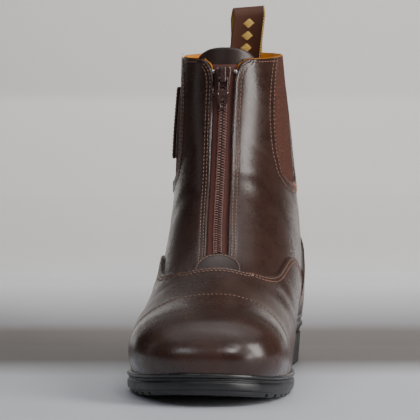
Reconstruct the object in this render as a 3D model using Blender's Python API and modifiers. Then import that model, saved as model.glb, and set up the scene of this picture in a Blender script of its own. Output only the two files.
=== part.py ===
"""Paddock boot, the wearer's right one: a brown leather ankle boot with a front zip and elastic sides.

Metres, +Z up, the toe points to -Y, the outer (lateral) side is -X. The origin is on the floor under the
middle of the sole. Each piece that a boot maker puts together is one object.
"""

import math

import bmesh
import bpy
import numpy as np

# Driving sizes
SOLE_LENGTH = 0.280
BALL_WIDTH = 0.100
COLLAR_HEIGHT = 0.200
TOE_SPRING = 0.0085
FOREFOOT_HEIGHT = 0.0125
HEEL_HEIGHT = 0.033
WALL = 0.0020
OVERLAY = 0.0014
CAP_LEATHER = 0.0022
GAP = 0.0003
LEDGE = 0.0045
HEEL_LEDGE = 0.0030
MIDSOLE = 0.0026
INSOLE = 0.0030
ZIP_OPENING = 0.0130
COIL_WIDTH = 0.0056
LOOP_WIDTH = 0.0210

# Where things are along the sole, as shares of its length from the toe tip
BALL_AT = 0.34
SHANK_FROM = 0.40
SHANK_TO = 0.74
BREAST_AT = 0.735
UPPER_TOE = 0.015
UPPER_HEEL = 0.987

# The sole's outline: its middle line and how full it is, as shares of the ball width
OUTLINE = {
    "along": (0.00, 0.04, 0.10, 0.18, 0.28, 0.36, 0.46, 0.58, 0.70, 0.82, 0.90, 0.96, 1.00),
    "middle": (0.080, 0.078, 0.066, 0.037, 0.000, -0.014, -0.028, -0.018, 0.012, 0.026, 0.028, 0.028, 0.028),
    "full": (0.720, 0.690, 0.632, 0.592, 0.562, 0.520, 0.446, 0.388, 0.386, 0.450, 0.556, 0.626, 0.646),
}

# The upper's sections from toe to collar, the last row above it. Each is a slanted plane from the front line
# (ridge, as shares of sole length and collar height) to the foot line, whose share runs along the feather line
# and then up the back seam. The sides and the places across are shares of the ball width.
SECTIONS = {
    "ridge_along": (0.015, 0.013, 0.026, 0.062, 0.120, 0.185, 0.250, 0.315, 0.375,
                    0.430, 0.478, 0.518, 0.545, 0.562, 0.574, 0.582, 0.586, 0.588),
    "ridge_up": (0.107, 0.148, 0.185, 0.226, 0.259, 0.281, 0.305, 0.345, 0.396,
                 0.462, 0.538, 0.620, 0.700, 0.780, 0.860, 0.935, 1.000, 1.050),
    "foot": (0.015, 0.028, 0.053, 0.095, 0.155, 0.225, 0.300, 0.375, 0.460,
             0.560, 0.670, 0.790, 0.905, 1.020, 1.180, 1.380, 1.600, 1.640),
    "lateral": (0.000, 0.165, 0.287, 0.376, 0.424, 0.444, 0.450, 0.453, 0.453,
                0.445, 0.438, 0.430, 0.425, 0.418, 0.400, 0.370, 0.335, 0.325),
    "medial": (0.000, 0.165, 0.287, 0.388, 0.440, 0.466, 0.478, 0.474, 0.456,
               0.430, 0.418, 0.412, 0.408, 0.396, 0.372, 0.352, 0.318, 0.310),
    "middle": (0.080, 0.078, 0.072, 0.060, 0.040, 0.012, -0.008, -0.015, -0.008,
               0.004, 0.006, 0.000, -0.010, -0.018, -0.026, -0.032, -0.036, -0.036),
    "ridge": (0.080, 0.080, 0.085, 0.090, 0.092, 0.086, 0.062, 0.034, 0.006,
              -0.016, -0.030, -0.038, -0.042, -0.042, -0.040, -0.036, -0.034, -0.034),
    "widest": (0.50, 0.55, 0.62, 0.68, 0.71, 0.73, 0.74, 0.75, 0.74,
               0.70, 0.64, 0.58, 0.54, 0.52, 0.50, 0.50, 0.50, 0.50),
    "full": (2.00, 2.10, 2.20, 2.30, 2.30, 2.20, 2.10, 2.05, 2.00,
             2.00, 2.00, 2.00, 2.00, 2.05, 2.10, 2.15, 2.20, 2.20),
}
COLLAR_ROW = 16
SECTION_COUNT = 25

# The back seam from the heel up: height as a share of the collar's, setback from the sole's back end as a
# share of its length, and its place across as a share of the ball width
BACK = {
    "up": (0.165, 0.240, 0.310, 0.400, 0.520, 0.650, 0.800, 1.060),
    "setback": (0.0130, 0.0095, 0.0095, 0.0150, 0.0310, 0.0440, 0.0540, 0.0660),
    "side": (0.028, 0.026, 0.022, 0.012, -0.004, -0.018, -0.028, -0.038),
}

# Seams seen from the side: shares of sole length and collar height
CAP_SEAM = {"along": (0.196, 0.206, 0.221, 0.226), "up": (0.00, 0.10, 0.31, 0.45)}
VAMP_SEAM = {
    "along": (0.332, 0.338, 0.356, 0.392, 0.440, 0.490, 0.538, 0.585, 0.640, 0.715),
    "up": (0.430, 0.376, 0.350, 0.335, 0.340, 0.362, 0.382, 0.374, 0.318, 0.230),
}
COUNTER_SEAM = {
    "along": (0.640, 0.715, 0.770, 0.830, 0.900, 1.020),
    "up": (0.318, 0.230, 0.300, 0.385, 0.440, 0.468),
}
GORE_FRONT = {
    "up": (0.600, 0.612, 0.632, 0.684, 0.780, 0.900, 0.960, 1.100),
    "along": (0.740, 0.697, 0.667, 0.651, 0.650, 0.662, 0.680, 0.740),
}
GORE_BACK = {
    "up": (0.600, 0.612, 0.632, 0.684, 0.780, 0.900, 0.960, 1.100),
    "along": (0.740, 0.776, 0.799, 0.815, 0.825, 0.835, 0.842, 0.860),
}

# The zip's line in front view: its place across as a share of the ball width at shares of the collar's height
ZIP_LINE = {
    "up": (0.300, 0.400, 0.500, 0.608, 0.740, 0.872, 0.940, 1.080),
    "across": (0.016, 0.000, -0.025, -0.037, -0.045, -0.041, -0.037, -0.036),
}


def smooth(table, column, key, at):
    """A smooth curve through a table's rows: cubic spans whose slopes follow the neighbouring rows."""
    stops = np.asarray(table[key] if isinstance(key, str) else key, float)
    values = np.asarray(table[column], float)
    at = np.asarray(at, float)
    slope = np.gradient(values, stops)
    row = np.clip(np.searchsorted(stops, at, side="right") - 1, 0, len(stops) - 2)
    span = stops[row + 1] - stops[row]
    t = (at - stops[row]) / span
    start = (2 * t**3 - 3 * t**2 + 1) * values[row] + (t**3 - 2 * t**2 + t) * span * slope[row]
    end = (3 * t**2 - 2 * t**3) * values[row + 1] + (t**3 - t**2) * span * slope[row + 1]
    return start + end


def raw_outline(along):
    """Middle line and half width of the sole: the fullness times a round end at toe and heel."""
    along = np.asarray(along, float)
    middle = smooth(OUTLINE, "middle", "along", along) * BALL_WIDTH
    ends = np.sqrt(np.clip(4 * along * (1 - along), 0, None))
    return middle, smooth(OUTLINE, "full", "along", along) * BALL_WIDTH * ends


def outline_centre():
    """The middle of the outline's own box, so that the boot stands centred on the origin."""
    middle, half = raw_outline(np.linspace(0, 1, 400))
    return 0.5 * ((middle + half).max() + (middle - half).min())


CENTRE = outline_centre()


def outline(along):
    middle, half = raw_outline(along)
    return middle - CENTRE, half


def feather(along):
    """Height of the feather line, where upper meets sole: toe spring, flat ball, rise of the shank, heel."""
    along = np.asarray(along, float)
    spring = TOE_SPRING * (np.clip(BALL_AT - along, 0, None) / BALL_AT) ** 1.8
    rise = np.clip((along - SHANK_FROM) / (SHANK_TO - SHANK_FROM), 0, 1)
    rise = rise * rise * (3 - 2 * rise)
    return FOREFOOT_HEIGHT + spring + (HEEL_HEIGHT - FOREFOOT_HEIGHT) * rise


def ledge(along):
    """How far the sole stands out past the feather line: less round the heel."""
    rise = np.clip((np.asarray(along, float) - SHANK_FROM) / (SHANK_TO - SHANK_FROM), 0, 1)
    return LEDGE + (HEEL_LEDGE - LEDGE) * rise


def place(along, up):
    """Side-view shares as metres: y and z."""
    return (np.asarray(along) - 0.5) * SOLE_LENGTH, np.asarray(up) * COLLAR_HEIGHT


def section_stops():
    """How far along the upper each row of the table lies: 0 at the toe, 1 at the collar."""
    ridge_y, ridge_z = place(SECTIONS["ridge_along"], SECTIONS["ridge_up"])
    foot = np.array(SECTIONS["foot"]) * SOLE_LENGTH
    step = 0.5 * (np.hypot(np.diff(ridge_y), np.diff(ridge_z)) + np.diff(foot))
    stops = np.concatenate([[0], np.cumsum(step)])
    return stops / stops[COLLAR_ROW]


STOPS = section_stops()


def skin(where, top_steps=7, low_steps=4):
    """Points of the upper's outside. Each section runs from the lateral foot edge over the ridge to the medial.

    Its upper arc is a quarter superellipse from the ridge to the widest line, its lower arc a quarter ellipse
    that is cut short where it reaches the feather line, or closes on the back seam.
    """
    where = np.asarray(where, float)
    row = {name: smooth(SECTIONS, name, STOPS, where)[:, None] for name in SECTIONS}
    foot_along = np.minimum(row["foot"], UPPER_HEEL)
    foot_up = feather(foot_along) + np.clip(row["foot"] - UPPER_HEEL, 0, None) * SOLE_LENGTH
    on_back = row["foot"] > UPPER_HEEL
    back = 1 - smooth(BACK, "setback", "up", foot_up / COLLAR_HEIGHT)
    foot_along = np.where(on_back, back, foot_along)
    seat = np.clip((foot_along - UPPER_TOE) / (UPPER_HEEL - UPPER_TOE), 0, 1)
    sole_middle, sole_half = outline(seat)
    ends = np.sqrt(np.clip(4 * seat * (1 - seat), 0, None))
    edge = np.where(on_back, 0, sole_half - ledge(seat) * ends)
    seam = smooth(BACK, "side", "up", foot_up / COLLAR_HEIGHT) * BALL_WIDTH - CENTRE
    foot_middle = np.where(on_back, seam, sole_middle)
    middle = row["middle"] * BALL_WIDTH - CENTRE
    ridge = row["ridge"] * BALL_WIDTH - CENTRE
    turn = np.linspace(0, math.pi / 2, top_steps + 1)[None, :]
    drop = np.linspace(0, 1, low_steps + 1)[None, 1:]
    halves = []
    for side, name in ((-1, "lateral"), (1, "medial")):
        half = np.maximum(row[name] * BALL_WIDTH, edge + 1e-6)
        power = 2 / row["full"]
        down_top = row["widest"] * (1 - np.cos(turn) ** power)
        out_top = ridge + (middle + side * half - ridge) * np.sin(turn) ** power
        last = np.arccos(np.clip(edge / half, 0, 1))
        low = last * drop
        down_low = row["widest"] + (1 - row["widest"]) * np.sin(low) / np.sin(np.maximum(last, 1e-6))
        share = (np.sin(low) / np.sin(np.maximum(last, 1e-6))) ** 2
        out_low = middle + (foot_middle - middle) * share + side * half * np.cos(low)
        down = np.hstack([down_top, down_low])
        out = np.hstack([out_top, out_low])
        along = row["ridge_along"] + (foot_along - row["ridge_along"]) * down
        up = row["ridge_up"] * COLLAR_HEIGHT + (foot_up - row["ridge_up"] * COLLAR_HEIGHT) * down
        halves.append(np.stack([out, (along - 0.5) * SOLE_LENGTH, up], axis=-1))
    return np.concatenate([halves[0][:, ::-1], halves[1][:, 1:]], axis=1)


def section_rows():
    """Where the sections lie that every piece of the upper shares, closer where the foot line turns."""
    heel = np.interp(UPPER_HEEL, SECTIONS["foot"], STOPS)
    even = np.linspace(0, 1, SECTION_COUNT)
    above = np.array([1.025, 1.05, 1.08])
    turns = np.array([0.004, 0.012, heel - 0.012, heel - 0.004, heel])
    return np.unique(np.round(np.concatenate([even, above, turns]), 5))


def rows_between(first, last):
    rows = section_rows()
    return rows[(rows >= first) & (rows <= last)]


def material(name, colour, roughness, metallic=0.0):
    made = bpy.data.materials.new(name)
    made.use_nodes = True
    shader = made.node_tree.nodes["Principled BSDF"]
    shader.inputs["Base Color"].default_value = (*colour, 1)
    shader.inputs["Roughness"].default_value = roughness
    shader.inputs["Metallic"].default_value = metallic
    return made


def new_collection(name):
    made = bpy.data.collections.new(name)
    bpy.context.scene.collection.children.link(made)
    return made


def add_object(name, mesh, collection, finish=None):
    made = bpy.data.objects.new(name, mesh)
    collection.objects.link(made)
    if finish:
        mesh.materials.append(finish)
    return made


def grid_mesh(name, points):
    """A mesh from a grid of points, with the points that fall together merged and the faces outwards."""
    rows, columns = points.shape[:2]
    corner = np.arange(rows * columns).reshape(rows, columns)
    near = np.stack([corner[:-1, :-1], corner[:-1, 1:], corner[1:, 1:]], axis=-1)
    far = np.stack([corner[:-1, :-1], corner[1:, 1:], corner[1:, :-1]], axis=-1)
    faces = np.concatenate([near.reshape(-1, 3), far.reshape(-1, 3)])
    mesh = bpy.data.meshes.new(name)
    mesh.from_pydata(points.reshape(-1, 3).tolist(), [], faces.tolist())
    shape = bmesh.new()
    shape.from_mesh(mesh)
    bmesh.ops.remove_doubles(shape, verts=shape.verts, dist=1e-6)
    shape.to_mesh(mesh)
    shape.free()
    mesh.shade_smooth()
    return mesh


def shell(name, points, lift, thickness, collection, finish):
    """A wall of the given thickness, whose near face lies the lift away from the grid of points."""
    made = add_object(name, grid_mesh(name, points), collection, finish)
    move = made.modifiers.new("lift", "DISPLACE")
    move.mid_level = 0
    move.strength = lift
    wall = made.modifiers.new("wall", "SOLIDIFY")
    wall.thickness = abs(thickness)
    wall.offset = math.copysign(1, thickness)
    return made


def prism(name, outline_points, axis, low, high, collection):
    """A cutter: a flat outline carried along an axis. Along X it is drawn in YZ, along Y in XZ."""
    shape = bmesh.new()
    ends = []
    for depth in (low, high):
        if axis == "X":
            ends.append([shape.verts.new((depth, a, b)) for a, b in outline_points])
        else:
            ends.append([shape.verts.new((a, depth, b)) for a, b in outline_points])
    count = len(outline_points)
    shape.faces.new(ends[0])
    shape.faces.new(ends[1][::-1])
    for i in range(count):
        j = (i + 1) % count
        shape.faces.new((ends[0][i], ends[1][i], ends[1][j], ends[0][j]))
    bmesh.ops.recalc_face_normals(shape, faces=shape.faces)
    mesh = bpy.data.meshes.new(name)
    shape.to_mesh(mesh)
    shape.free()
    made = add_object(name, mesh, collection)
    made.hide_render = True
    made.display_type = "WIRE"
    return made


def carve(target, cutter, operation="DIFFERENCE"):
    cut = target.modifiers.new(cutter.name, "BOOLEAN")
    cut.operation = operation
    cut.object = cutter
    cut.solver = "EXACT"


def seam_line(table, count, shift=0.0):
    """Points of a seam as side-view metres, evenly spread through its rows and moved along the sole."""
    y, z = place(table["along"], table["up"])
    stops = np.concatenate([[0], np.cumsum(np.hypot(np.diff(y), np.diff(z)))])
    at = np.linspace(0, stops[-1], count)
    line = {"y": y + shift, "z": z}
    return list(zip(smooth(line, "y", stops, at).tolist(), smooth(line, "z", stops, at).tolist()))


def feather_line(first, last, count=12, rise=0.0001):
    """Side-view points just over the feather line, from one place along the sole to another, as y and z."""
    along = np.linspace(first, last, count)
    y = (along - 0.5) * SOLE_LENGTH
    return list(zip(y.tolist(), (feather(along) + rise).tolist()))


for old in list(bpy.data.objects):
    bpy.data.objects.remove(old, do_unlink=True)

boot = new_collection("paddock_boot")
cutters = new_collection("cutters")

LEATHER = material("brown_leather", (0.055, 0.026, 0.019), 0.38)
OVERLAY_LEATHER = material("brown_leather_overlay", (0.060, 0.028, 0.020), 0.34)
ELASTIC = material("brown_elastic", (0.110, 0.050, 0.036), 0.85)
TAPE = material("zip_tape", (0.130, 0.060, 0.050), 0.80)
TEETH = material("zip_teeth", (0.180, 0.085, 0.070), 0.45)
METAL = material("painted_metal", (0.065, 0.040, 0.036), 0.30, 0.8)
RIBBON = material("brown_ribbon", (0.120, 0.055, 0.035), 0.70)
RUBBER = material("black_rubber", (0.026, 0.026, 0.028), 0.55)
BOARD = material("insole_board", (0.300, 0.170, 0.080), 0.75)

FAR = 0.08
FLOOR_Z = -0.01
SKY_Z = 0.26
BACK_Y = 0.16
FRONT_Y = -0.16


def outline_ring(along, inset, first=0.0, last=1.0):
    """Points round the outline, inset along its own normal: out along the lateral side, back the medial.

    The outline is drawn in to reach from the first place along the sole to the last.
    """
    middle, half = outline((along - first) / (last - first))
    y = (along - 0.5) * SOLE_LENGTH
    x = np.concatenate([middle - half, (middle + half)[::-1]])
    y = np.concatenate([y, y[::-1]])
    run_x = np.roll(x, -1) - np.roll(x, 1)
    run_y = np.roll(y, -1) - np.roll(y, 1)
    length = np.hypot(run_x, run_y)
    return x + inset * run_y / length, y - inset * run_x / length


def layered(name, levels, count, collection, finish, first=0.0, last=1.0):
    """A closed solid on the sole's outline. Levels are (inset, height over the floor as a function)."""
    turn = np.linspace(0, math.pi, count + 2)[1:-1]
    along = first + (last - first) * 0.5 * (1 - np.cos(turn))
    shape = bmesh.new()
    rings = []
    for inset, height in levels:
        x, y = outline_ring(along, inset, first, last)
        z = height(y / SOLE_LENGTH + 0.5)
        rings.append([shape.verts.new(point) for point in zip(x.tolist(), y.tolist(), z.tolist())])
    around = 2 * count
    for under, over in zip(rings[:-1], rings[1:]):
        for i in range(around):
            j = (i + 1) % around
            shape.faces.new((under[i], under[j], over[j], over[i]))
    for ring in (rings[0], rings[-1]):
        for i in range(count - 1):
            j = around - 1 - i
            shape.faces.new((ring[i], ring[i + 1], ring[j - 1], ring[j]))
    bmesh.ops.recalc_face_normals(shape, faces=shape.faces)
    mesh = bpy.data.meshes.new(name)
    shape.to_mesh(mesh)
    shape.free()
    return add_object(name, mesh, collection, finish)


# Outsole: a moulded unit with a lower tread step, a side band, a heel seat and cross grooves
TREAD_STEP = 0.0030
BAND_STEP = 0.0012
SEAT_THICKNESS = 0.0085


def sole_top(along):
    return feather(along) - MIDSOLE - 2 * GAP


def sole_bottom(along):
    """The tread: flat on the floor at the ball, up at the toe, and up under the arch to the heel's seat."""
    along = np.asarray(along, float)
    spring = TOE_SPRING * (np.clip(BALL_AT - 0.06 - along, 0, None) / (BALL_AT - 0.06)) ** 1.8
    rise = np.clip((along - SHANK_FROM) / (SHANK_TO - SHANK_FROM), 0, 1)
    rise = rise * rise * (3 - 2 * rise)
    return spring + (HEEL_HEIGHT - MIDSOLE - 2 * GAP - SEAT_THICKNESS) * rise


SOLE_LEVELS = (
    (0.0032, sole_bottom),
    (0.0018, lambda along: sole_bottom(along) + 0.0012),
    (0.0016, lambda along: sole_bottom(along) + TREAD_STEP),
    (0.0004, lambda along: sole_bottom(along) + TREAD_STEP + 0.0006),
    (0.0002, lambda along: sole_top(along) - 0.0022),
    (BAND_STEP, lambda along: sole_top(along) - 0.0016),
    (BAND_STEP, sole_top),
)
outsole = layered("outsole", SOLE_LEVELS, 30, boot, RUBBER)

GROOVE_WIDTH = 0.0030
GROOVE_DEPTH = 0.0020
for number, at in enumerate(np.arange(0.085, 0.46, 0.042)):
    y = (at - 0.5) * SOLE_LENGTH
    z = float(sole_bottom(at)) + GROOVE_DEPTH
    box = [(y - GROOVE_WIDTH / 2, FLOOR_Z), (y + GROOVE_WIDTH / 2, FLOOR_Z),
           (y + GROOVE_WIDTH / 2, z), (y - GROOVE_WIDTH / 2, z)]
    carve(outsole, prism(f"tread_groove_{number}", box, "X", -FAR, FAR, cutters))

# Heel: the lift under the seat, with a slanted breast and three treads
heel_levels = (
    (0.0042, lambda along: 0.0 * along),
    (0.0030, lambda along: 0.0012 + 0.0 * along),
    (0.0014, lambda along: sole_bottom(along) - GAP),
)
heel = layered("heel", heel_levels, 30, boot, RUBBER)
breast_y = (BREAST_AT - 0.5) * SOLE_LENGTH
heel_side = [(breast_y + 0.004, FLOOR_Z), (BACK_Y, FLOOR_Z), (BACK_Y, 0.05), (breast_y - 0.003, 0.05)]
carve(heel, prism("heel_breast", heel_side, "X", -FAR, FAR, cutters), "INTERSECT")
for number, at in enumerate((0.800, 0.862, 0.924)):
    y = (at - 0.5) * SOLE_LENGTH
    box = [(y - GROOVE_WIDTH / 2, FLOOR_Z), (y + GROOVE_WIDTH / 2, FLOOR_Z),
           (y + GROOVE_WIDTH / 2, GROOVE_DEPTH), (y - GROOVE_WIDTH / 2, GROOVE_DEPTH)]
    carve(heel, prism(f"heel_groove_{number}", box, "X", -FAR, FAR, cutters))

# Midsole: the full plate whose edge shows as the welt under the upper
midsole_levels = (
    (0.0006, lambda along: feather(along) - MIDSOLE - GAP),
    (0.0, lambda along: feather(along) - 0.7 * MIDSOLE - GAP),
    (0.0002, lambda along: feather(along) - 0.0006 - GAP),
    (0.0010, lambda along: feather(along) - GAP),
)
layered("midsole_welt", midsole_levels, 30, boot, RUBBER)

# Insole: the board that closes the upper underneath
BOARD_INSET = LEDGE + WALL + 0.0022
insole_levels = (
    (BOARD_INSET, lambda along: feather(along) + GAP),
    (BOARD_INSET - 0.0004, lambda along: feather(along) + INSOLE),
)
layered("insole", insole_levels, 30, boot, BOARD, UPPER_TOE, UPPER_HEEL)

# Upper: one hollow shell with its wall, open at the collar, the zip's throat, the gores and underneath
upper = shell("upper", skin(rows_between(0, 1)), 0.0, -WALL, boot, LEATHER)
above_feather = feather_line(-0.04, 1.05, 18) + [(BACK_Y, SKY_Z), (FRONT_Y, SKY_Z)]
carve(upper, prism("upper_foot_cutter", above_feather, "X", -FAR, FAR, cutters), "INTERSECT")

ZIP_BOTTOM = 0.405
ZIP_TOP = 0.985
THROAT_BOTTOM = 0.345
CORNER_TOP = 0.0155
CORNER_FROM = 0.92


def zip_middle(up):
    """The zip's line across the front: it leans to the lateral side, as the ridge does."""
    return smooth(ZIP_LINE, "across", "up", np.clip(up, ZIP_LINE["up"][0], ZIP_LINE["up"][-1])) * BALL_WIDTH - CENTRE


def throat_half(up):
    """Half the throat's width: round panel corners at the collar, even along the zip, wide at the patch."""
    top = np.clip((up - CORNER_FROM) / (1 - CORNER_FROM), 0, 1)
    low = np.clip((ZIP_BOTTOM - up) / (ZIP_BOTTOM - THROAT_BOTTOM), 0, 1)
    return ZIP_OPENING / 2 + (CORNER_TOP - ZIP_OPENING / 2) * (1 - np.sqrt(1 - top**2)) + 0.0085 * low


def front_outline(up, half):
    """A closed front-view outline round the zip's line: up the lateral side, down the medial."""
    up = np.asarray(up, float)
    x = zip_middle(up)
    z = up * COLLAR_HEIGHT
    left = list(zip((x - half).tolist(), z.tolist()))
    right = list(zip((x + half).tolist(), z.tolist()))
    return left + right[::-1]


throat_up = np.array([THROAT_BOTTOM, ZIP_BOTTOM, 0.45, 0.50, 0.56, 0.62, 0.68, 0.80, CORNER_FROM, 0.955, 0.978,
                      0.992, 1.0, 1.08])
throat = prism("throat_cutter", front_outline(throat_up, throat_half(throat_up)), "Y", FRONT_Y, 0.06, cutters)
carve(upper, throat)

GORE_POINTS = 14
gore_hole = seam_line(GORE_FRONT, GORE_POINTS)[::-1] + seam_line(GORE_BACK, GORE_POINTS)[1:]
carve(upper, prism("gore_cutter", gore_hole, "X", -FAR, FAR, cutters))

# Gores: the elastic sides, a little below the leather's face
GORE_SINK = 0.0007
ELASTIC_THICKNESS = 0.0012
inset_front = [(y + 0.0006, z + 0.0002) for y, z in seam_line(GORE_FRONT, GORE_POINTS)]
inset_back = [(y - 0.0006, z + 0.0002) for y, z in seam_line(GORE_BACK, GORE_POINTS)]
inset_front[0] = (inset_front[0][0] - 0.0006, inset_front[0][1] + 0.0008)
gore_shape = inset_front[::-1] + inset_back[1:]
side_rows = rows_between(0.40, 1.0)
for side, name in ((-1, "gore_lateral"), (1, "gore_medial")):
    gore = shell(name, skin(side_rows), -GORE_SINK, -ELASTIC_THICKNESS, boot, ELASTIC)
    low, high = (-FAR, -0.005) if side < 0 else (0.005, FAR)
    carve(gore, prism(f"{name}_cutter", gore_shape, "X", low, high, cutters), "INTERSECT")

# Side tab: a flat tab sewn on the lateral gore
TAB_LOW, TAB_HIGH = 0.680, 0.913
TAB_FRONT, TAB_BACK = 0.713, 0.767
tab = shell("side_tab", skin(rows_between(0.50, 1.0)), GAP - GORE_SINK, 0.0019, boot, OVERLAY_LEATHER)
tab_front_y, tab_low_z = place(TAB_FRONT, TAB_LOW)
tab_back_y, tab_high_z = place(TAB_BACK, TAB_HIGH)
tab_shape = [(tab_front_y, tab_low_z), (tab_back_y, tab_low_z), (tab_back_y, tab_high_z),
             (tab_front_y, tab_high_z)]
carve(tab, prism("side_tab_cutter", tab_shape, "X", -FAR, -0.005, cutters), "INTERSECT")

# Toe cap, vamp and heel counter: leather laid over the shell, each cut along its seams
cap_line = seam_line(CAP_SEAM, 6)
cap = shell("toe_cap", skin(rows_between(0, 0.30)), GAP, CAP_LEATHER, boot, OVERLAY_LEATHER)
cap_line = [point for point in cap_line if point[1] > float(feather(CAP_SEAM["along"][0])) + GAP]
cap_shape = feather_line(-0.04, CAP_SEAM["along"][0]) + cap_line + [(FRONT_Y, cap_line[-1][1])]
carve(cap, prism("toe_cap_cutter", cap_shape, "X", -FAR, FAR, cutters), "INTERSECT")

vamp = shell("vamp", skin(rows_between(0, 0.66)), GAP, OVERLAY, boot, OVERLAY_LEATHER)
vamp_front = seam_line(CAP_SEAM, 6, shift=GAP)
vamp_top = seam_line(VAMP_SEAM, 22)
vamp_end_y = vamp_top[-1][0]
vamp_front = [point for point in vamp_front if point[1] > float(feather(CAP_SEAM["along"][0])) + GAP]
vamp_foot = feather_line(CAP_SEAM["along"][0] + GAP / SOLE_LENGTH, VAMP_SEAM["along"][-1])
vamp_shape = vamp_front + vamp_top + vamp_foot[::-1]
carve(vamp, prism("vamp_cutter", vamp_shape, "X", -FAR, FAR, cutters), "INTERSECT")

counter = shell("heel_counter", skin(rows_between(0.22, 0.86)), 1.6 * GAP, OVERLAY, boot, OVERLAY_LEATHER)
counter_top = seam_line(COUNTER_SEAM, 12, shift=GAP)
counter_top = [point for point in counter_top if point[0] > vamp_end_y + GAP]
counter_foot = feather_line(VAMP_SEAM["along"][-1] + GAP / SOLE_LENGTH, 1.05)
counter_shape = [(vamp_end_y + GAP, counter_top[0][1])] + counter_top
counter_shape += [(counter_foot[-1][0], counter_top[-1][1])] + counter_foot[::-1]
carve(counter, prism("heel_counter_cutter", counter_shape, "X", -FAR, FAR, cutters), "INTERSECT")

# Back strip: the narrow strip over the back seam, from the counter to the collar
STRIP_HALF = 0.0085
back_middle = BACK["side"][-2] * BALL_WIDTH - CENTRE
strip = shell("back_strip", skin(rows_between(0.45, 0.995)), GAP, 0.0012, boot, OVERLAY_LEATHER)
strip_low = COLLAR_HEIGHT * COUNTER_SEAM["up"][-1] + GAP
strip_shape = [(back_middle - STRIP_HALF, strip_low), (back_middle + STRIP_HALF, strip_low),
               (back_middle + STRIP_HALF * 0.8, SKY_Z), (back_middle - STRIP_HALF * 0.8, SKY_Z)]
carve(strip, prism("back_strip_cutter", strip_shape, "Y", 0.09, BACK_Y, cutters), "INTERSECT")

# Zip-end patch: the small half-moon that fills the throat below the zip
patch_up = np.array([THROAT_BOTTOM + 0.004, 0.372, ZIP_BOTTOM - 0.004])
patch = shell("zip_end_patch", skin(rows_between(0.26, 0.46)), -0.0002, -0.0015, boot, LEATHER)
patch_shape = front_outline(patch_up, throat_half(patch_up) - 0.0006)
carve(patch, prism("zip_end_patch_cutter", patch_shape, "Y", FRONT_Y, 0.06, cutters), "INTERSECT")

# Zip tape behind the throat's edges, the closed coil on it, and the tongue behind both
TAPE_THICKNESS = 0.0006
TAPE_HALF = 0.0110
throat_rows = rows_between(0.30, 0.992)
tape_up = np.array([0.375, 0.45, 0.50, 0.56, 0.62, 0.68, 0.80, ZIP_TOP])
tape = shell("zip_tape", skin(throat_rows), -WALL - GAP, -TAPE_THICKNESS, boot, TAPE)
carve(tape, prism("zip_tape_cutter", front_outline(tape_up, TAPE_HALF), "Y", FRONT_Y, 0.06, cutters), "INTERSECT")

coil_up = np.array([ZIP_BOTTOM + 0.006, 0.45, 0.50, 0.56, 0.62, 0.68, 0.80, 0.945])
coil = shell("zip_coil", skin(throat_rows), -0.0006, -(WALL - 0.0006), boot, TEETH)
coil_shape = front_outline(coil_up, COIL_WIDTH / 2)
carve(coil, prism("zip_coil_cutter", coil_shape, "Y", FRONT_Y, 0.06, cutters), "INTERSECT")

TONGUE_HALF = 0.0215
tongue_up = np.array([0.360, 0.50, 0.60, 0.80, 0.990, 1.010, 1.026, 1.036, 1.040])
tongue_half = np.array([0.80, 0.95, 1.0, 1.0, 1.0, 0.88, 0.64, 0.34, 0.08]) * TONGUE_HALF
tongue = shell("tongue", skin(rows_between(0.28, 1.09)), -WALL - TAPE_THICKNESS - 2.5 * GAP, -0.0016,
               boot, LEATHER)
carve(tongue, prism("tongue_cutter", front_outline(tongue_up, tongue_half), "Y", FRONT_Y, 0.06, cutters),
      "INTERSECT")


def front_point(up):
    """A point on the front line at a height, with the slope of that line as an angle from upright."""
    where = np.linspace(0.3, 1.05, 400)
    y, z = place(smooth(SECTIONS, "ridge_along", STOPS, where), smooth(SECTIONS, "ridge_up", STOPS, where))
    at = np.interp(up * COLLAR_HEIGHT, z, where)
    y_at = float(np.interp(at, where, y))
    step = 0.02
    y_low, y_high = np.interp([up * COLLAR_HEIGHT - step / 2, up * COLLAR_HEIGHT + step / 2], z, y)
    return y_at, math.atan2(y_high - y_low, step)


def boxes(name, rows, collection, finish):
    """One solid from boxes that overlap or meet: each row is the low and the high corner."""
    first = None
    for number, (low, high) in enumerate(rows):
        shape = bmesh.new()
        bmesh.ops.create_cube(shape, size=1)
        size = np.subtract(high, low)
        middle = 0.5 * np.add(high, low)
        for vert in shape.verts:
            vert.co = tuple(middle + np.array(vert.co) * size)
        mesh = bpy.data.meshes.new(f"{name}_{number}")
        shape.to_mesh(mesh)
        shape.free()
        if first is None:
            first = add_object(name, mesh, collection, finish)
            continue
        piece = add_object(f"{name}_block_{number}", mesh, cutters)
        piece.hide_render = True
        piece.display_type = "WIRE"
        carve(first, piece, "UNION")
        piece.parent = first
    return first


# Zip slider: a body that straddles the coil, with a bridge along it
SLIDER_UP = 0.945
SLIDER_LENGTH = 0.0130
SLIDER_WIDTH = 0.0094
BODY_FACE = 0.0022
BRIDGE_FACE = 0.0052
BRIDGE_HALF = 0.0019
slider_y, slider_lean = front_point(SLIDER_UP)
half_run = SLIDER_LENGTH / 2
slider = boxes("zip_slider", (
    ((-SLIDER_WIDTH / 2, -BODY_FACE, -half_run), (SLIDER_WIDTH / 2, -0.0002, half_run)),
    ((-SLIDER_WIDTH / 2, -0.0010, -half_run), (-COIL_WIDTH / 2 - GAP, 0.0016, half_run)),
    ((COIL_WIDTH / 2 + GAP, -0.0010, -half_run), (SLIDER_WIDTH / 2, 0.0016, half_run)),
    ((-BRIDGE_HALF, -BRIDGE_FACE, half_run - 0.0022), (BRIDGE_HALF, -BODY_FACE + 0.0005, half_run - 0.0008)),
    ((-BRIDGE_HALF, -BRIDGE_FACE, -half_run + 0.0030), (BRIDGE_HALF, -BODY_FACE + 0.0005, -half_run + 0.0044)),
    ((-BRIDGE_HALF, -BRIDGE_FACE, -half_run + 0.0030), (BRIDGE_HALF, -BRIDGE_FACE + 0.0011, half_run - 0.0008)),
), boot, METAL)
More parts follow.
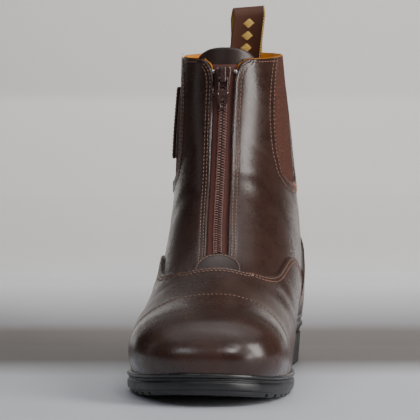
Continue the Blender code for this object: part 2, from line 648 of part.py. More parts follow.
slider_x = float(zip_middle(SLIDER_UP))
slider.location = (slider_x, slider_y, SLIDER_UP * COLLAR_HEIGHT)
slider.rotation_euler = (-slider_lean, 0, 0)

# Zip pull: the tab whose top bar passes under the bridge and turns there
BAR = 0.0012
EYE_WIDTH = 0.0064
PULL_SHOULDER = 0.0088
PULL_TIP = 0.0048
PULL_LENGTH = 0.0200
EYE_LENGTH = 0.0078
bar_out = BODY_FACE + 0.0003 + BAR / 2
pivot_run = -half_run + 0.0044 + 0.0005 + BAR / 2
pull = boxes("zip_pull", (
    ((-EYE_WIDTH / 2, -BAR / 2, -BAR / 2), (EYE_WIDTH / 2, BAR / 2, BAR / 2)),
    ((-EYE_WIDTH / 2, -BAR / 2, -EYE_LENGTH - BAR), (-EYE_WIDTH / 2 + 0.0009, BAR / 2, 0)),
    ((EYE_WIDTH / 2 - 0.0009, -BAR / 2, -EYE_LENGTH - BAR), (EYE_WIDTH / 2, BAR / 2, 0)),
), boot, METAL)
tab_outline = [(-PULL_SHOULDER / 2, -EYE_LENGTH), (-PULL_TIP / 2, -PULL_LENGTH),
               (PULL_TIP / 2, -PULL_LENGTH), (PULL_SHOULDER / 2, -EYE_LENGTH)]
pull_plate = prism("zip_pull_plate", tab_outline, "Y", -BAR / 2, BAR / 2, cutters)
pull_plate.parent = pull
carve(pull, pull_plate, "UNION")
hole = [(-0.0012, -PULL_LENGTH + 0.0018), (0.0012, -PULL_LENGTH + 0.0018),
        (0.0012, -PULL_LENGTH + 0.0060), (-0.0012, -PULL_LENGTH + 0.0060)]
window = prism("zip_pull_window", hole, "Y", -0.01, 0.01, cutters)
window.parent = pull
carve(pull, window)
pull.location = (
    slider_x,
    slider_y - bar_out * math.cos(slider_lean) + pivot_run * math.sin(slider_lean),
    SLIDER_UP * COLLAR_HEIGHT + bar_out * math.sin(slider_lean) + pivot_run * math.cos(slider_lean),
)
pull.rotation_euler = (-slider_lean, 0, 0)

# Pull loop: a ribbon that stands over the back of the collar, one leg inside and one outside
LOOP_TOP = 0.2350
LOOP_FOOT = 0.1800
LOOP_RIBBON = 0.0013
LOOP_BULGE = 0.0040
LOOP_ROLL = math.radians(-4)


def loop_path():
    """The ribbon's middle line from the inner foot over the top to the outer foot, as y and z."""
    heights = np.linspace(LOOP_FOOT, LOOP_TOP - 0.006, 9)
    setback = smooth(BACK, "setback", "up", heights / COLLAR_HEIGHT)
    back_y = (0.5 - setback) * SOLE_LENGTH
    above = np.clip((heights - COLLAR_HEIGHT * 1.02) / (LOOP_TOP - COLLAR_HEIGHT * 1.02), 0, 1)
    inner = back_y - WALL - GAP - LOOP_RIBBON / 2 - 0.0011 - LOOP_BULGE * np.sin(above * 2.2)
    outer = back_y + 0.0012 + 2 * GAP + LOOP_RIBBON / 2 + 0.0002 + LOOP_BULGE * np.sin(above * 2.2)
    turn = np.linspace(math.pi, 0, 9)[1:-1]
    middle = 0.5 * (inner[-1] + outer[-1])
    radius = 0.5 * (outer[-1] - inner[-1])
    top_y = middle + radius * np.cos(turn)
    top_z = heights[-1] + 0.006 * np.sin(turn)
    y = np.concatenate([inner, top_y, outer[::-1]])
    z = np.concatenate([heights, top_z, heights[::-1]])
    return y, z


path_y, path_z = loop_path()
across = np.linspace(-LOOP_WIDTH / 2, LOOP_WIDTH / 2, 5)
loop_points = np.stack(np.broadcast_arrays(back_middle + across[None, :], path_y[:, None], path_z[:, None]), -1)
loop_base = COLLAR_HEIGHT * 1.02
tilt = np.clip((path_z - loop_base) / (LOOP_TOP - loop_base), 0, 1)[:, None]
loop_points[..., 0] += 0.0020 * tilt
collar_half, collar_depth = 0.034, 0.049
bend = collar_depth * (1 - np.sqrt(1 - ((loop_points[..., 0] - back_middle) / collar_half) ** 2))
loop_points[..., 1] -= bend * (1 - 0.6 * tilt)
loop_points[..., 2] += -np.tan(LOOP_ROLL) * (loop_points[..., 0] - back_middle) * tilt
shell("pull_loop", loop_points, LOOP_RIBBON / 2, -LOOP_RIBBON, boot, RIBBON)
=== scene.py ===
"""Looks of a paddock boot, the wearer's right one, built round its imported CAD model.

Metres, +Z up, the toe points to -Y and the lateral side is -X. Every piece has its own section.
"""

import math

import bmesh
import bpy
import numpy as np
from mathutils import Matrix, Vector


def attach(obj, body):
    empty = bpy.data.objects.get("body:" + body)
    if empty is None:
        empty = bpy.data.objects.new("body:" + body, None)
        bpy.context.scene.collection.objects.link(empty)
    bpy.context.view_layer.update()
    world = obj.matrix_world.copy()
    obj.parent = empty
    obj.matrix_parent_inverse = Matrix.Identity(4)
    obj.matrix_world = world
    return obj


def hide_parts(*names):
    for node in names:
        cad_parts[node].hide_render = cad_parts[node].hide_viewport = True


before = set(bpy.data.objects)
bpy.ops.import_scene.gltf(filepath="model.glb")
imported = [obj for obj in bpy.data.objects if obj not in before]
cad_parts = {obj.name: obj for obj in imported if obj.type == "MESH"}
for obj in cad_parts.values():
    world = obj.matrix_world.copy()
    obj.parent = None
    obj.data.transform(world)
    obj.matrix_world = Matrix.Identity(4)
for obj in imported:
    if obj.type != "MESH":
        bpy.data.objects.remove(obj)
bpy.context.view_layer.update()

# Camera: at shaft height, 8.5 degrees to the medial side, with a long lens. It is pitched down so that the
# boot stands where the photograph has it.

TURN = math.radians(8.5)
PITCH = math.radians(3.06)
camera = bpy.data.objects.new("camera", bpy.data.cameras.new("camera"))
bpy.context.scene.collection.objects.link(camera)
camera.data.sensor_width = 36
camera.data.lens = 213.4
camera.location = (0.2204, -1.5323, 0.189)
aim = Vector((-math.sin(TURN) * math.cos(PITCH), math.cos(TURN) * math.cos(PITCH), -math.sin(PITCH)))
camera.rotation_mode = "QUATERNION"
camera.rotation_quaternion = aim.to_track_quat("-Z", "Y")
bpy.context.scene.camera = camera


# Light: large soft boxes on both sides and overhead, two small ones for the toe's highlights, and one
# that lights only the wall.


def light(name, place, target, size, power, colour, spread=math.pi):
    """A soft box: a rectangular area light that faces its target, narrowed by its spread."""
    data = bpy.data.lights.new(name, "AREA")
    data.shape = "RECTANGLE"
    data.size, data.size_y = size
    data.energy = power
    data.color = colour
    data.spread = spread
    lamp = bpy.data.objects.new(name, data)
    lamp.location = place
    lamp.rotation_mode = "QUATERNION"
    lamp.rotation_quaternion = (Vector(target) - Vector(place)).to_track_quat("-Z", "Y")
    bpy.context.scene.collection.objects.link(lamp)


light("box_right", (1.15, -0.55, 0.55), (0.0, 0.05, 0.12), (0.62, 1.3), 24, (1.0, 0.97, 0.94))
light("box_high_right", (0.36, -0.90, 0.80), (0.0, -0.05, 0.05), (0.20, 0.14), 2.6, (1.0, 0.98, 0.96))
light("box_high_left", (-0.42, -0.88, 0.66), (0.0, -0.05, 0.05), (0.12, 0.12), 1.3, (0.86, 0.93, 1.0))
light("box_left", (-1.30, -0.10, 0.60), (0.0, 0.0, 0.12), (0.3, 1.0), 0.5, (0.92, 0.95, 1.0))
light("box_top", (0.0, 0.20, 1.7), (0.0, 0.0, 0.0), (2.4, 2.4), 14, (1.0, 1.0, 1.0))
light("box_back", (0.95, 1.10, 0.45), (0.0, 0.1, 0.08), (0.5, 0.9), 4, (1.0, 0.98, 0.95))
light("wall_wash", (-0.3, 0.32, 1.1), (-0.12, 0.75, 0.25), (1.4, 0.4), 4.0, (1.0, 0.99, 0.97),
      math.radians(90))

world = bpy.data.worlds.new("studio")
world.use_nodes = True
world.node_tree.nodes["Background"].inputs["Color"].default_value = (0.52, 0.51, 0.50, 1)
world.node_tree.nodes["Background"].inputs["Strength"].default_value = 0.12
bpy.context.scene.world = world

# Floor and backdrop: a pale matt table whose back edge rises in a soft curve into a grey wall. It isn't
# part of the boot.


def procedural(name):
    """A new material's node tree, its Principled shader, and its object coordinates in metres."""
    made = bpy.data.materials.new(name)
    made.use_nodes = True
    tree = made.node_tree
    shader = tree.nodes["Principled BSDF"]
    place = tree.nodes.new("ShaderNodeTexCoord").outputs["Object"]
    return made, tree, shader, place


def noise(tree, place, scale, detail=2.0, rough=0.5, stretch=None):
    """A noise texture's value; stretch scales the coordinates on each axis first."""
    if stretch:
        mapping = tree.nodes.new("ShaderNodeMapping")
        mapping.inputs["Scale"].default_value = stretch
        tree.links.new(place, mapping.inputs["Vector"])
        place = mapping.outputs["Vector"]
    texture = tree.nodes.new("ShaderNodeTexNoise")
    texture.inputs["Scale"].default_value = scale
    texture.inputs["Detail"].default_value = detail
    texture.inputs["Roughness"].default_value = rough
    tree.links.new(place, texture.inputs["Vector"])
    return texture.outputs["Fac"]


def spread(tree, value, low, high, to_low=0.0, to_high=1.0):
    """The value's range low..high carried to another range, smoothly."""
    node = tree.nodes.new("ShaderNodeMapRange")
    node.interpolation_type = "SMOOTHSTEP"
    tree.links.new(value, node.inputs["Value"])
    for key, number in (("From Min", low), ("From Max", high), ("To Min", to_low), ("To Max", to_high)):
        node.inputs[key].default_value = number
    return node.outputs["Result"]


def mixed(tree, factor, first, second, how="MIX"):
    """A colour between two colours; either may be a tuple or a socket, the factor a number or a socket."""
    node = tree.nodes.new("ShaderNodeMix")
    node.data_type = "RGBA"
    node.blend_type = how
    for key, value in ((0, factor), (6, first), (7, second)):
        if isinstance(value, (int, float)):
            node.inputs[key].default_value = value
        elif isinstance(value, tuple):
            node.inputs[key].default_value = (*value, 1)
        else:
            tree.links.new(value, node.inputs[key])
    return node.outputs[2]


def bumped(tree, shader, height, distance, strength=1.0, under=None):
    """Bump from a height of 0..1 over the given metres, on top of another bump if one is given."""
    node = tree.nodes.new("ShaderNodeBump")
    node.inputs["Distance"].default_value = distance
    node.inputs["Strength"].default_value = strength
    tree.links.new(height, node.inputs["Height"])
    if under:
        tree.links.new(under, node.inputs["Normal"])
    tree.links.new(node.outputs["Normal"], shader.inputs["Normal"])
    return node.outputs["Normal"]


def stored(tree, name):
    """A number stored on the mesh's points."""
    node = tree.nodes.new("ShaderNodeAttribute")
    node.attribute_name = name
    return node.outputs["Fac"]


def grid_faces(rows, columns, start=0, around=False):
    """Quads between a grid's neighbouring rows and columns; around joins the last column to the first."""
    row = np.arange(rows - 1)[:, None]
    column = np.arange(columns if around else columns - 1)[None, :]
    after = (column + 1) % columns
    this, following = row * columns, (row + 1) * columns
    corners = (this + column, this + after, following + after, following + column)
    return np.stack(np.broadcast_arrays(*corners), axis=-1).reshape(-1, 4) + start


def make_piece(name, points, faces, finish, body="root", numbers=None, outward=None, replaces=(),
               sharp=None):
    """An object from points and quads, its doubled points merged, smooth, riding on its body.

    Faces are turned so that they look the way outward says at their first corner, or out of the closed form.
    """
    points = np.asarray(points, float).reshape(-1, 3)
    faces = np.asarray(faces)
    if outward is not None:
        corner = points[faces]
        normal = np.cross(corner[:, 2] - corner[:, 0], corner[:, 3] - corner[:, 1])
        wrong = (normal * np.asarray(outward, float).reshape(-1, 3)[faces[:, 0]]).sum(1) < 0
        faces = np.where(wrong[:, None], faces[:, ::-1], faces)
    mesh = bpy.data.meshes.new(name)
    mesh.from_pydata(points.tolist(), [], faces.tolist())
    for key, values in (numbers or {}).items():
        stored_numbers = mesh.attributes.new(key, "FLOAT", "POINT").data
        stored_numbers.foreach_set("value", np.ravel(values).astype(np.float32))
    shape = bmesh.new()
    shape.from_mesh(mesh)
    bmesh.ops.remove_doubles(shape, verts=shape.verts, dist=2e-6)
    bmesh.ops.dissolve_degenerate(shape, edges=shape.edges, dist=1e-7)
    if outward is None:
        bmesh.ops.recalc_face_normals(shape, faces=shape.faces)
    shape.to_mesh(mesh)
    shape.free()
    mesh.shade_smooth()
    if sharp:
        mesh.set_sharp_from_angle(angle=math.radians(sharp))
    mesh.materials.append(finish)
    made = bpy.data.objects.new(name, mesh)
    bpy.context.scene.collection.objects.link(made)
    if body:
        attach(made, body)
    if replaces:
        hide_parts(*replaces)
    return made


sweep_run = np.array([-3.0, -1.0, -0.3, 0.0, 0.12, 0.20, 0.30, 0.42, 0.54, 0.62, 0.66, 0.68, 0.69, 0.69])
sweep_rise = np.array([0.0, 0.0, 0.0, 0.0, 0.0, 0.0, 0.006, 0.03, 0.09, 0.17, 0.28, 0.6, 1.4, 3.0])
FLOOR_ROWS, FLOOR_COLUMNS = 260, 81
knots = np.linspace(0, 13, FLOOR_ROWS)
run = np.interp(knots, np.arange(14), sweep_run)
rise = np.interp(knots, np.arange(14), sweep_rise)
even = np.linspace(-1, 1, FLOOR_COLUMNS)
side = 3 * np.sign(even) * even**2
away = np.array([-math.sin(TURN), math.cos(TURN)])
beside = np.array([math.cos(TURN), math.sin(TURN)])
floor_points = np.stack([
    run[:, None] * away[0] + side[None, :] * beside[0],
    run[:, None] * away[1] + side[None, :] * beside[1],
    np.broadcast_to(rise[:, None], (FLOOR_ROWS, FLOOR_COLUMNS)),
], axis=-1)
# The table's colour is painted dark in a band behind the boot, as painted shade, and painted darker still
# wherever the camera doesn't look, standing in for a studio's flags, so that the leather mirrors little of it
behind = np.clip((run - 0.02) / 0.09, 0, 1) * np.clip((0.40 - run) / 0.14, 0, 1)
seen = 1 - np.clip((np.abs(side) - 0.24) / 0.20, 0, 1)[None, :] * np.ones_like(run)[:, None]
seen *= np.clip((run + 0.55) / 0.28, 0, 1)[:, None] * np.clip((0.46 - rise) / 0.18, 0, 1)[:, None]
paper, tree, shader, place = procedural("paper")
height = tree.nodes.new("ShaderNodeSeparateXYZ")
tree.links.new(place, height.inputs[0])
pale = mixed(tree, spread(tree, height.outputs["Z"], 0.0, 0.06), (0.58, 0.60, 0.65), (0.50, 0.485, 0.47))
# Painted shade: the dark band on the table behind the boot
grey = mixed(tree, stored(tree, "behind"), pale, (0.13, 0.115, 0.11))
# Painted shade: near black wherever the camera doesn't look
grey = mixed(tree, stored(tree, "seen"), (0.06, 0.058, 0.056), grey)
tree.links.new(grey, shader.inputs["Base Color"])
shader.inputs["Roughness"].default_value = 0.6
bumped(tree, shader, noise(tree, place, 180), 0.0001, 0.3)
# From behind, the backdrop is clear, so that it hides nothing in views from the back
clear = tree.nodes.new("ShaderNodeBsdfTransparent")
either = tree.nodes.new("ShaderNodeMixShader")
tree.links.new(tree.nodes.new("ShaderNodeNewGeometry").outputs["Backfacing"], either.inputs["Fac"])
tree.links.new(shader.outputs["BSDF"], either.inputs[1])
tree.links.new(clear.outputs["BSDF"], either.inputs[2])
tree.links.new(either.outputs["Shader"], tree.nodes["Material Output"].inputs["Surface"])
floor = make_piece("floor", floor_points, grid_faces(FLOOR_ROWS, FLOOR_COLUMNS), paper, body=None,
                   numbers={"behind": np.broadcast_to(behind[:, None], seen.shape), "seen": seen},
                   outward=np.broadcast_to(np.append(-away * 0.5, 1.0), floor_points.shape))

# Outsole: a moulded rubber unit, black with a satin face. It has a side band with a rounded lower step, a
# thin groove under the lip, toe spring, arch, and a tread of ribs with cross grooves.

SOLE_LENGTH = 0.280
BALL_WIDTH = 0.100
TOE_SPRING = 0.0085
FOREFOOT_HEIGHT = 0.0125
HEEL_HEIGHT = 0.033
MIDSOLE = 0.0026
GAP = 0.0003
BALL_AT = 0.34
SHANK_FROM = 0.40
SHANK_TO = 0.74
SEAT_THICKNESS = 0.0085
OUTLINE = {
    "along": (0.00, 0.04, 0.10, 0.18, 0.28, 0.36, 0.46, 0.58, 0.70, 0.82, 0.90, 0.96, 1.00),
    "middle": (0.080, 0.078, 0.066, 0.037, 0.000, -0.014, -0.028, -0.018, 0.012, 0.026, 0.028, 0.028, 0.028),
    "full": (0.720, 0.690, 0.632, 0.592, 0.562, 0.520, 0.446, 0.388, 0.386, 0.450, 0.556, 0.626, 0.646),
}
# The side's profile: how far in from the outline, and how high over the tread in metres or, where
# from_top is 1, below the top
SOLE_SIDE = {
    "inset": (0.0038, 0.0030, 0.0024, 0.0020, 0.0018, 0.0017, 0.0016, 0.0012, 0.0008, 0.0005, 0.0003, 0.0002,
              0.0002, 0.0003, 0.0006, 0.0010, 0.0013, 0.0014, 0.0013, 0.0010, 0.0009, 0.0010),
    "height": (0.0000, 0.0001, 0.0004, 0.0009, 0.0015, 0.0022, 0.0027, 0.0029, 0.0030, 0.0032, 0.0036, 0.0042,
               -0.0030, -0.0024, -0.0020, -0.0018, -0.0015, -0.0012, -0.0009, -0.0006, -0.0003, 0.0000),
    "from_top": (0, 0, 0, 0, 0, 0, 0, 0, 0, 0, 0, 0, 1, 1, 1, 1, 1, 1, 1, 1, 1, 1),
}
GROOVE_WIDTH = 0.0030
GROOVE_DEPTH = 0.0020
FOREFOOT_GROOVES = np.arange(0.085, 0.46, 0.042)


def smooth(table, column, key, at):
    """A smooth curve through a table's rows: cubic spans whose slopes follow the neighbouring rows."""
    stops = np.asarray(table[key] if isinstance(key, str) else key, float)
    values = np.asarray(table[column], float)
    at = np.asarray(at, float)
    slope = np.gradient(values, stops)
    row = np.clip(np.searchsorted(stops, at, side="right") - 1, 0, len(stops) - 2)
    span = stops[row + 1] - stops[row]
    t = (at - stops[row]) / span
    start = (2 * t**3 - 3 * t**2 + 1) * values[row] + (t**3 - 2 * t**2 + t) * span * slope[row]
    end = (3 * t**2 - 2 * t**3) * values[row + 1] + (t**3 - t**2) * span * slope[row + 1]
    return start + end


def raw_outline(along):
    """Middle line and half width of the sole: the fullness times a round end at toe and heel."""
    middle = smooth(OUTLINE, "middle", "along", along) * BALL_WIDTH
    ends = np.sqrt(np.clip(4 * along * (1 - along), 0, None))
    return middle, smooth(OUTLINE, "full", "along", along) * BALL_WIDTH * ends


raw_middle, raw_half = raw_outline(np.linspace(0, 1, 400))
CENTRE = 0.5 * ((raw_middle + raw_half).max() + (raw_middle - raw_half).min())


def outline(along):
    """Middle line and half width in metres across, centred on the boot."""
    middle, half = raw_outline(np.asarray(along, float))
    return middle - CENTRE, half


def shank(along):
    """0 at the forefoot, 1 at the heel: a smooth step over the arch."""
    rise = np.clip((np.asarray(along, float) - SHANK_FROM) / (SHANK_TO - SHANK_FROM), 0, 1)
    return rise * rise * (3 - 2 * rise)


def feather(along):
    """Height of the feather line, where upper meets sole."""
    spring = TOE_SPRING * (np.clip(BALL_AT - np.asarray(along, float), 0, None) / BALL_AT) ** 1.8
    return FOREFOOT_HEIGHT + spring + (HEEL_HEIGHT - FOREFOOT_HEIGHT) * shank(along)


def sole_top(along):
    """The outsole's upper face: under the welt, which is under the feather line."""
    return feather(along) - MIDSOLE - 2 * GAP


def sole_bottom(along):
    """The tread: flat on the floor at the ball, up at the toe, and up under the arch to the heel's seat."""
    lift_from = BALL_AT - 0.06
    spring = TOE_SPRING * (np.clip(lift_from - np.asarray(along, float), 0, None) / lift_from) ** 1.8
    return spring + (HEEL_HEIGHT - MIDSOLE - 2 * GAP - SEAT_THICKNESS) * shank(along)


def ring_points(along, inset):
    """Points round the outline at these places, out along the lateral side and back along the medial.

    Each is moved inwards by the inset along the outline's own normal in plan.
    """
    middle, half = outline(along)
    x = np.concatenate([middle - half, (middle + half)[::-1]])
    y = np.concatenate([(along - 0.5) * SOLE_LENGTH, (along[::-1] - 0.5) * SOLE_LENGTH])
    run_x = np.roll(x, -1) - np.roll(x, 1)
    run_y = np.roll(y, -1) - np.roll(y, 1)
    length = np.hypot(run_x, run_y)
    return x + inset * run_y / length, y - inset * run_x / length


def end_to_end(count):
    """Places along the sole, closer together at its round ends."""
    return 0.5 * (1 - np.cos(np.linspace(0, math.pi, count + 2)[1:-1]))


def groove_depth(along, grooves, depth):
    """How far the tread is cut back at a place: the depth inside a groove, with slightly slanted walls."""
    off = np.abs(np.asarray(along)[..., None] - np.asarray(grooves)).min(-1) * SOLE_LENGTH
    return depth * np.clip((GROOVE_WIDTH / 2 + 0.00015 - off) / 0.0003, 0, 1)


def across(ring, columns):
    """A sheet over a ring that runs out on one side and back on the other: each row spans the two sides."""
    count = len(ring) // 2
    near, far = ring[:count], ring[count:][::-1]
    share = np.linspace(0, 1, columns)[None, :, None]
    return near[:, None] * (1 - share) + far[:, None] * share


def groove_walls(grooves):
    """Places along the sole at both walls of each groove, two close together at each wall."""
    walls = np.add.outer(np.asarray(grooves), np.array([-1, 1]) * (GROOVE_WIDTH / 2) / SOLE_LENGTH).ravel()
    return np.add.outer(walls, np.array([-1, 1]) * 0.00016 / SOLE_LENGTH).ravel()


def closed_rings(rings, base, lid):
    """Points and quads of stacked rings, closed by a sheet below and one above."""
    count, around = rings.shape[:2]
    points = np.concatenate([rings.reshape(-1, 3), base.reshape(-1, 3), lid.reshape(-1, 3)])
    faces = np.concatenate([
        grid_faces(count, around, around=True),
        grid_faces(*base.shape[:2], start=count * around),
        grid_faces(*lid.shape[:2], start=count * around + base.shape[0] * base.shape[1]),
    ])
    return points, faces


def toned(tree, shader, value, low, high, dark, light_tone):
    """A base colour that runs from the dark tone to the light one as a value runs from low to high."""
    tree.links.new(mixed(tree, spread(tree, value, low, high), dark, light_tone), shader.inputs["Base Color"])


sole_along = np.unique(np.concatenate([end_to_end(230), groove_walls(FOREFOOT_GROOVES)]))
sole_rings = []
for inset, height, from_top in zip(SOLE_SIDE["inset"], SOLE_SIDE["height"], SOLE_SIDE["from_top"]):
    x, y = ring_points(sole_along, inset)
    at = y / SOLE_LENGTH + 0.5
    station = np.concatenate([sole_along, sole_along[::-1]])
    low = sole_bottom(at)
    z = sole_top(at) + height if from_top else low + np.maximum(
        height, groove_depth(station, FOREFOOT_GROOVES, GROOVE_DEPTH))
    sole_rings.append(np.stack([x, y, z], axis=-1))
sole_rings = np.array(sole_rings)
tread = across(sole_rings[0], 30)
# Fine ribs along the tread between the grooves
rib = 0.0004 * (0.5 + 0.5 * np.cos(tread[..., 0] / 0.0042 * 2 * math.pi))
tread[:, 1:-1, 2] += rib[:, 1:-1]
points, faces = closed_rings(sole_rings, tread, across(sole_rings[-1], 4))

rubber, tree, shader, place = procedural("sole_rubber")
dull = noise(tree, place, 90, 4.0, 0.6)
toned(tree, shader, dull, 0.35, 0.7, (0.011, 0.011, 0.012), (0.019, 0.019, 0.021))
tree.links.new(spread(tree, dull, 0.3, 0.7, 0.34, 0.46), shader.inputs["Roughness"])
grain = bumped(tree, shader, noise(tree, place, 2600, 2.0), 0.00005, 0.6)
bumped(tree, shader, noise(tree, place, 14, 1.0, 0.5, (1, 1, 40)), 0.0004, 0.25, grain)
make_piece("rubber_sole", points, faces, rubber, replaces=["outsole"], sharp=40)

# Heel: the rubber lift under the seat, a little smaller than it, with a slanted breast and three grooves.
# It lies under the back of the outsole and takes the wear.

BREAST_AT = 0.735
HEEL_SIDE = {
    "inset": (0.0050, 0.0040, 0.0034, 0.0030, 0.0028, 0.0026, 0.0022, 0.0018, 0.0015, 0.0014),
    "share": (0.00, 0.005, 0.02, 0.05, 0.10, 0.16, 0.40, 0.70, 0.96, 1.00),
}
HEEL_GROOVES = (0.800, 0.862, 0.924)

plain = 1 - (1 - np.linspace(0, 1, 90)[:-1]) ** 2
heel_share = np.unique(np.concatenate([
    plain * 0.9995, (groove_walls(HEEL_GROOVES) - BREAST_AT) / (1 - BREAST_AT)]))
heel_rings = []
for inset, share in zip(HEEL_SIDE["inset"], HEEL_SIDE["share"]):
    top = HEEL_HEIGHT - MIDSOLE - 2 * GAP - SEAT_THICKNESS - GAP
    start = BREAST_AT + (0.0026 - 0.0024 * share) / SOLE_LENGTH
    station = start + (1 - start) * heel_share
    x, y = ring_points(station, inset)
    x[0], x[-1] = x[1], x[-2]
    y[0] = y[-1] = (start - 0.5) * SOLE_LENGTH
    both = np.concatenate([station, station[::-1]])
    low = np.maximum(share * top, groove_depth(both, HEEL_GROOVES, GROOVE_DEPTH))
    seat = np.minimum(top, sole_bottom(y / SOLE_LENGTH + 0.5) - GAP)
    heel_rings.append(np.stack([x, y, np.minimum(low, seat)], axis=-1))
heel_rings = np.array(heel_rings)
points, faces = closed_rings(heel_rings, across(heel_rings[0], 16), across(heel_rings[-1], 3))
make_piece("rubber_heel", points, faces, rubber, replaces=["heel"], sharp=40)

# Welt: the rubber plate over the outsole, whose rounded edge shows as a narrow lip under the leather.
# The upper's feather line lies on it.

WELT_SIDE = {
    "inset": (0.0010, 0.0006, 0.0003, 0.0001, 0.0, 0.0, 0.0001, 0.0003, 0.0006, 0.0011, 0.0020, 0.0060),
    "under_top": (0.0026, 0.0025, 0.0023, 0.0020, 0.0016, 0.0011, 0.0007, 0.0004, 0.00015, 0.0, 0.0, 0.0),
}
welt_along = end_to_end(220)
welt_rings = []
for inset, under in zip(WELT_SIDE["inset"], WELT_SIDE["under_top"]):
    x, y = ring_points(welt_along, inset)
    welt_rings.append(np.stack([x, y, feather(y / SOLE_LENGTH + 0.5) - GAP - under], axis=-1))
welt_rings = np.array(welt_rings)
points, faces = closed_rings(welt_rings, across(welt_rings[0], 3), across(welt_rings[-1], 3))
welt_rubber, tree, shader, place = procedural("welt_rubber")
dull = noise(tree, place, 120, 4.0, 0.6)
toned(tree, shader, dull, 0.35, 0.7, (0.014, 0.014, 0.015), (0.024, 0.024, 0.025))
tree.links.new(spread(tree, dull, 0.3, 0.7, 0.26, 0.38), shader.inputs["Roughness"])
bumped(tree, shader, noise(tree, place, 2200, 2.0), 0.00004, 0.6)
make_piece("rubber_welt", points, faces, welt_rubber, replaces=["midsole_welt"], sharp=50)

# Shaft: the smooth, polished brown leather of the ankle part, cut as front and back panels and turned in at
# the zip, the gores and the collar. It is lasted, so it follows the last down to the sole.

COLLAR_HEIGHT = 0.200
LEDGE = 0.0045
HEEL_LEDGE = 0.0030
WALL = 0.0020
UPPER_TOE = 0.015
UPPER_HEEL = 0.987
SECTIONS = {
    "ridge_along": (0.015, 0.013, 0.026, 0.062, 0.120, 0.185, 0.250, 0.315, 0.375,
                    0.430, 0.478, 0.518, 0.545, 0.562, 0.574, 0.582, 0.586, 0.588),
    "ridge_up": (0.107, 0.148, 0.185, 0.226, 0.259, 0.281, 0.305, 0.345, 0.396,
                 0.462, 0.538, 0.620, 0.700, 0.780, 0.860, 0.935, 1.000, 1.050),
    "foot": (0.015, 0.028, 0.053, 0.095, 0.155, 0.225, 0.300, 0.375, 0.460,
             0.560, 0.670, 0.790, 0.905, 1.020, 1.180, 1.380, 1.600, 1.640),
    "lateral": (0.000, 0.165, 0.287, 0.376, 0.424, 0.444, 0.450, 0.453, 0.453,
                0.445, 0.438, 0.430, 0.425, 0.418, 0.400, 0.370, 0.335, 0.325),
    "medial": (0.000, 0.165, 0.287, 0.388, 0.440, 0.466, 0.478, 0.474, 0.456,
               0.430, 0.418, 0.412, 0.408, 0.396, 0.372, 0.352, 0.318, 0.310),
    "middle": (0.080, 0.078, 0.072, 0.060, 0.040, 0.012, -0.008, -0.015, -0.008,
               0.004, 0.006, 0.000, -0.010, -0.018, -0.026, -0.032, -0.036, -0.036),
    "ridge": (0.080, 0.080, 0.085, 0.090, 0.092, 0.086, 0.062, 0.034, 0.006,
              -0.016, -0.030, -0.038, -0.042, -0.042, -0.040, -0.036, -0.034, -0.034),
    "widest": (0.50, 0.55, 0.62, 0.68, 0.71, 0.73, 0.74, 0.75, 0.74,
               0.70, 0.64, 0.58, 0.54, 0.52, 0.50, 0.50, 0.50, 0.50),
    "full": (2.00, 2.10, 2.20, 2.30, 2.30, 2.20, 2.10, 2.05, 2.00,
             2.00, 2.00, 2.00, 2.00, 2.05, 2.10, 2.15, 2.20, 2.20),
}
COLLAR_ROW = 16
BACK = {
    "up": (0.165, 0.240, 0.310, 0.400, 0.520, 0.650, 0.800, 1.060),
    "setback": (0.0130, 0.0095, 0.0095, 0.0150, 0.0310, 0.0440, 0.0540, 0.0660),
    "side": (0.028, 0.026, 0.022, 0.012, -0.004, -0.018, -0.028, -0.038),
}
GORE_EDGES = {
    "up": (0.600, 0.612, 0.632, 0.684, 0.780, 0.900, 0.960, 1.100),
    "front": (0.740, 0.697, 0.667, 0.651, 0.650, 0.662, 0.680, 0.740),
    "back": (0.740, 0.776, 0.799, 0.815, 0.825, 0.835, 0.842, 0.860),
}
ZIP_LINE = {
    "up": (0.300, 0.400, 0.500, 0.608, 0.740, 0.872, 0.940, 1.080),
    "across": (0.016, 0.000, -0.025, -0.037, -0.045, -0.041, -0.037, -0.036),
}
ZIP_OPENING = 0.0130
CORNER_TOP = 0.0155
CORNER_FROM = 0.92
UPPER_ARC = 0.62
# How far the stitch rows lie from the zip's, the gores' and the collar's edges, and how they pull the
# leather in
ZIP_STITCHES = (0.0024, 0.0046)
GORE_STITCHES = (0.0020, 0.0062)
COLLAR_STITCHES = 0.0024
PULL_IN = 0.00022
PULL_IN_WIDTH = 0.00055

ridge_y = (np.array(SECTIONS["ridge_along"]) - 0.5) * SOLE_LENGTH
ridge_z = np.array(SECTIONS["ridge_up"]) * COLLAR_HEIGHT
foot_run = np.array(SECTIONS["foot"]) * SOLE_LENGTH
# The sections' places u: half the way along the ridge and half the way along the foot, 1 at the collar
way = 0.5 * (np.hypot(np.diff(ridge_y), np.diff(ridge_z)) + np.diff(foot_run))
STOPS = np.concatenate([[0], np.cumsum(way)])
STOPS = STOPS / STOPS[COLLAR_ROW]


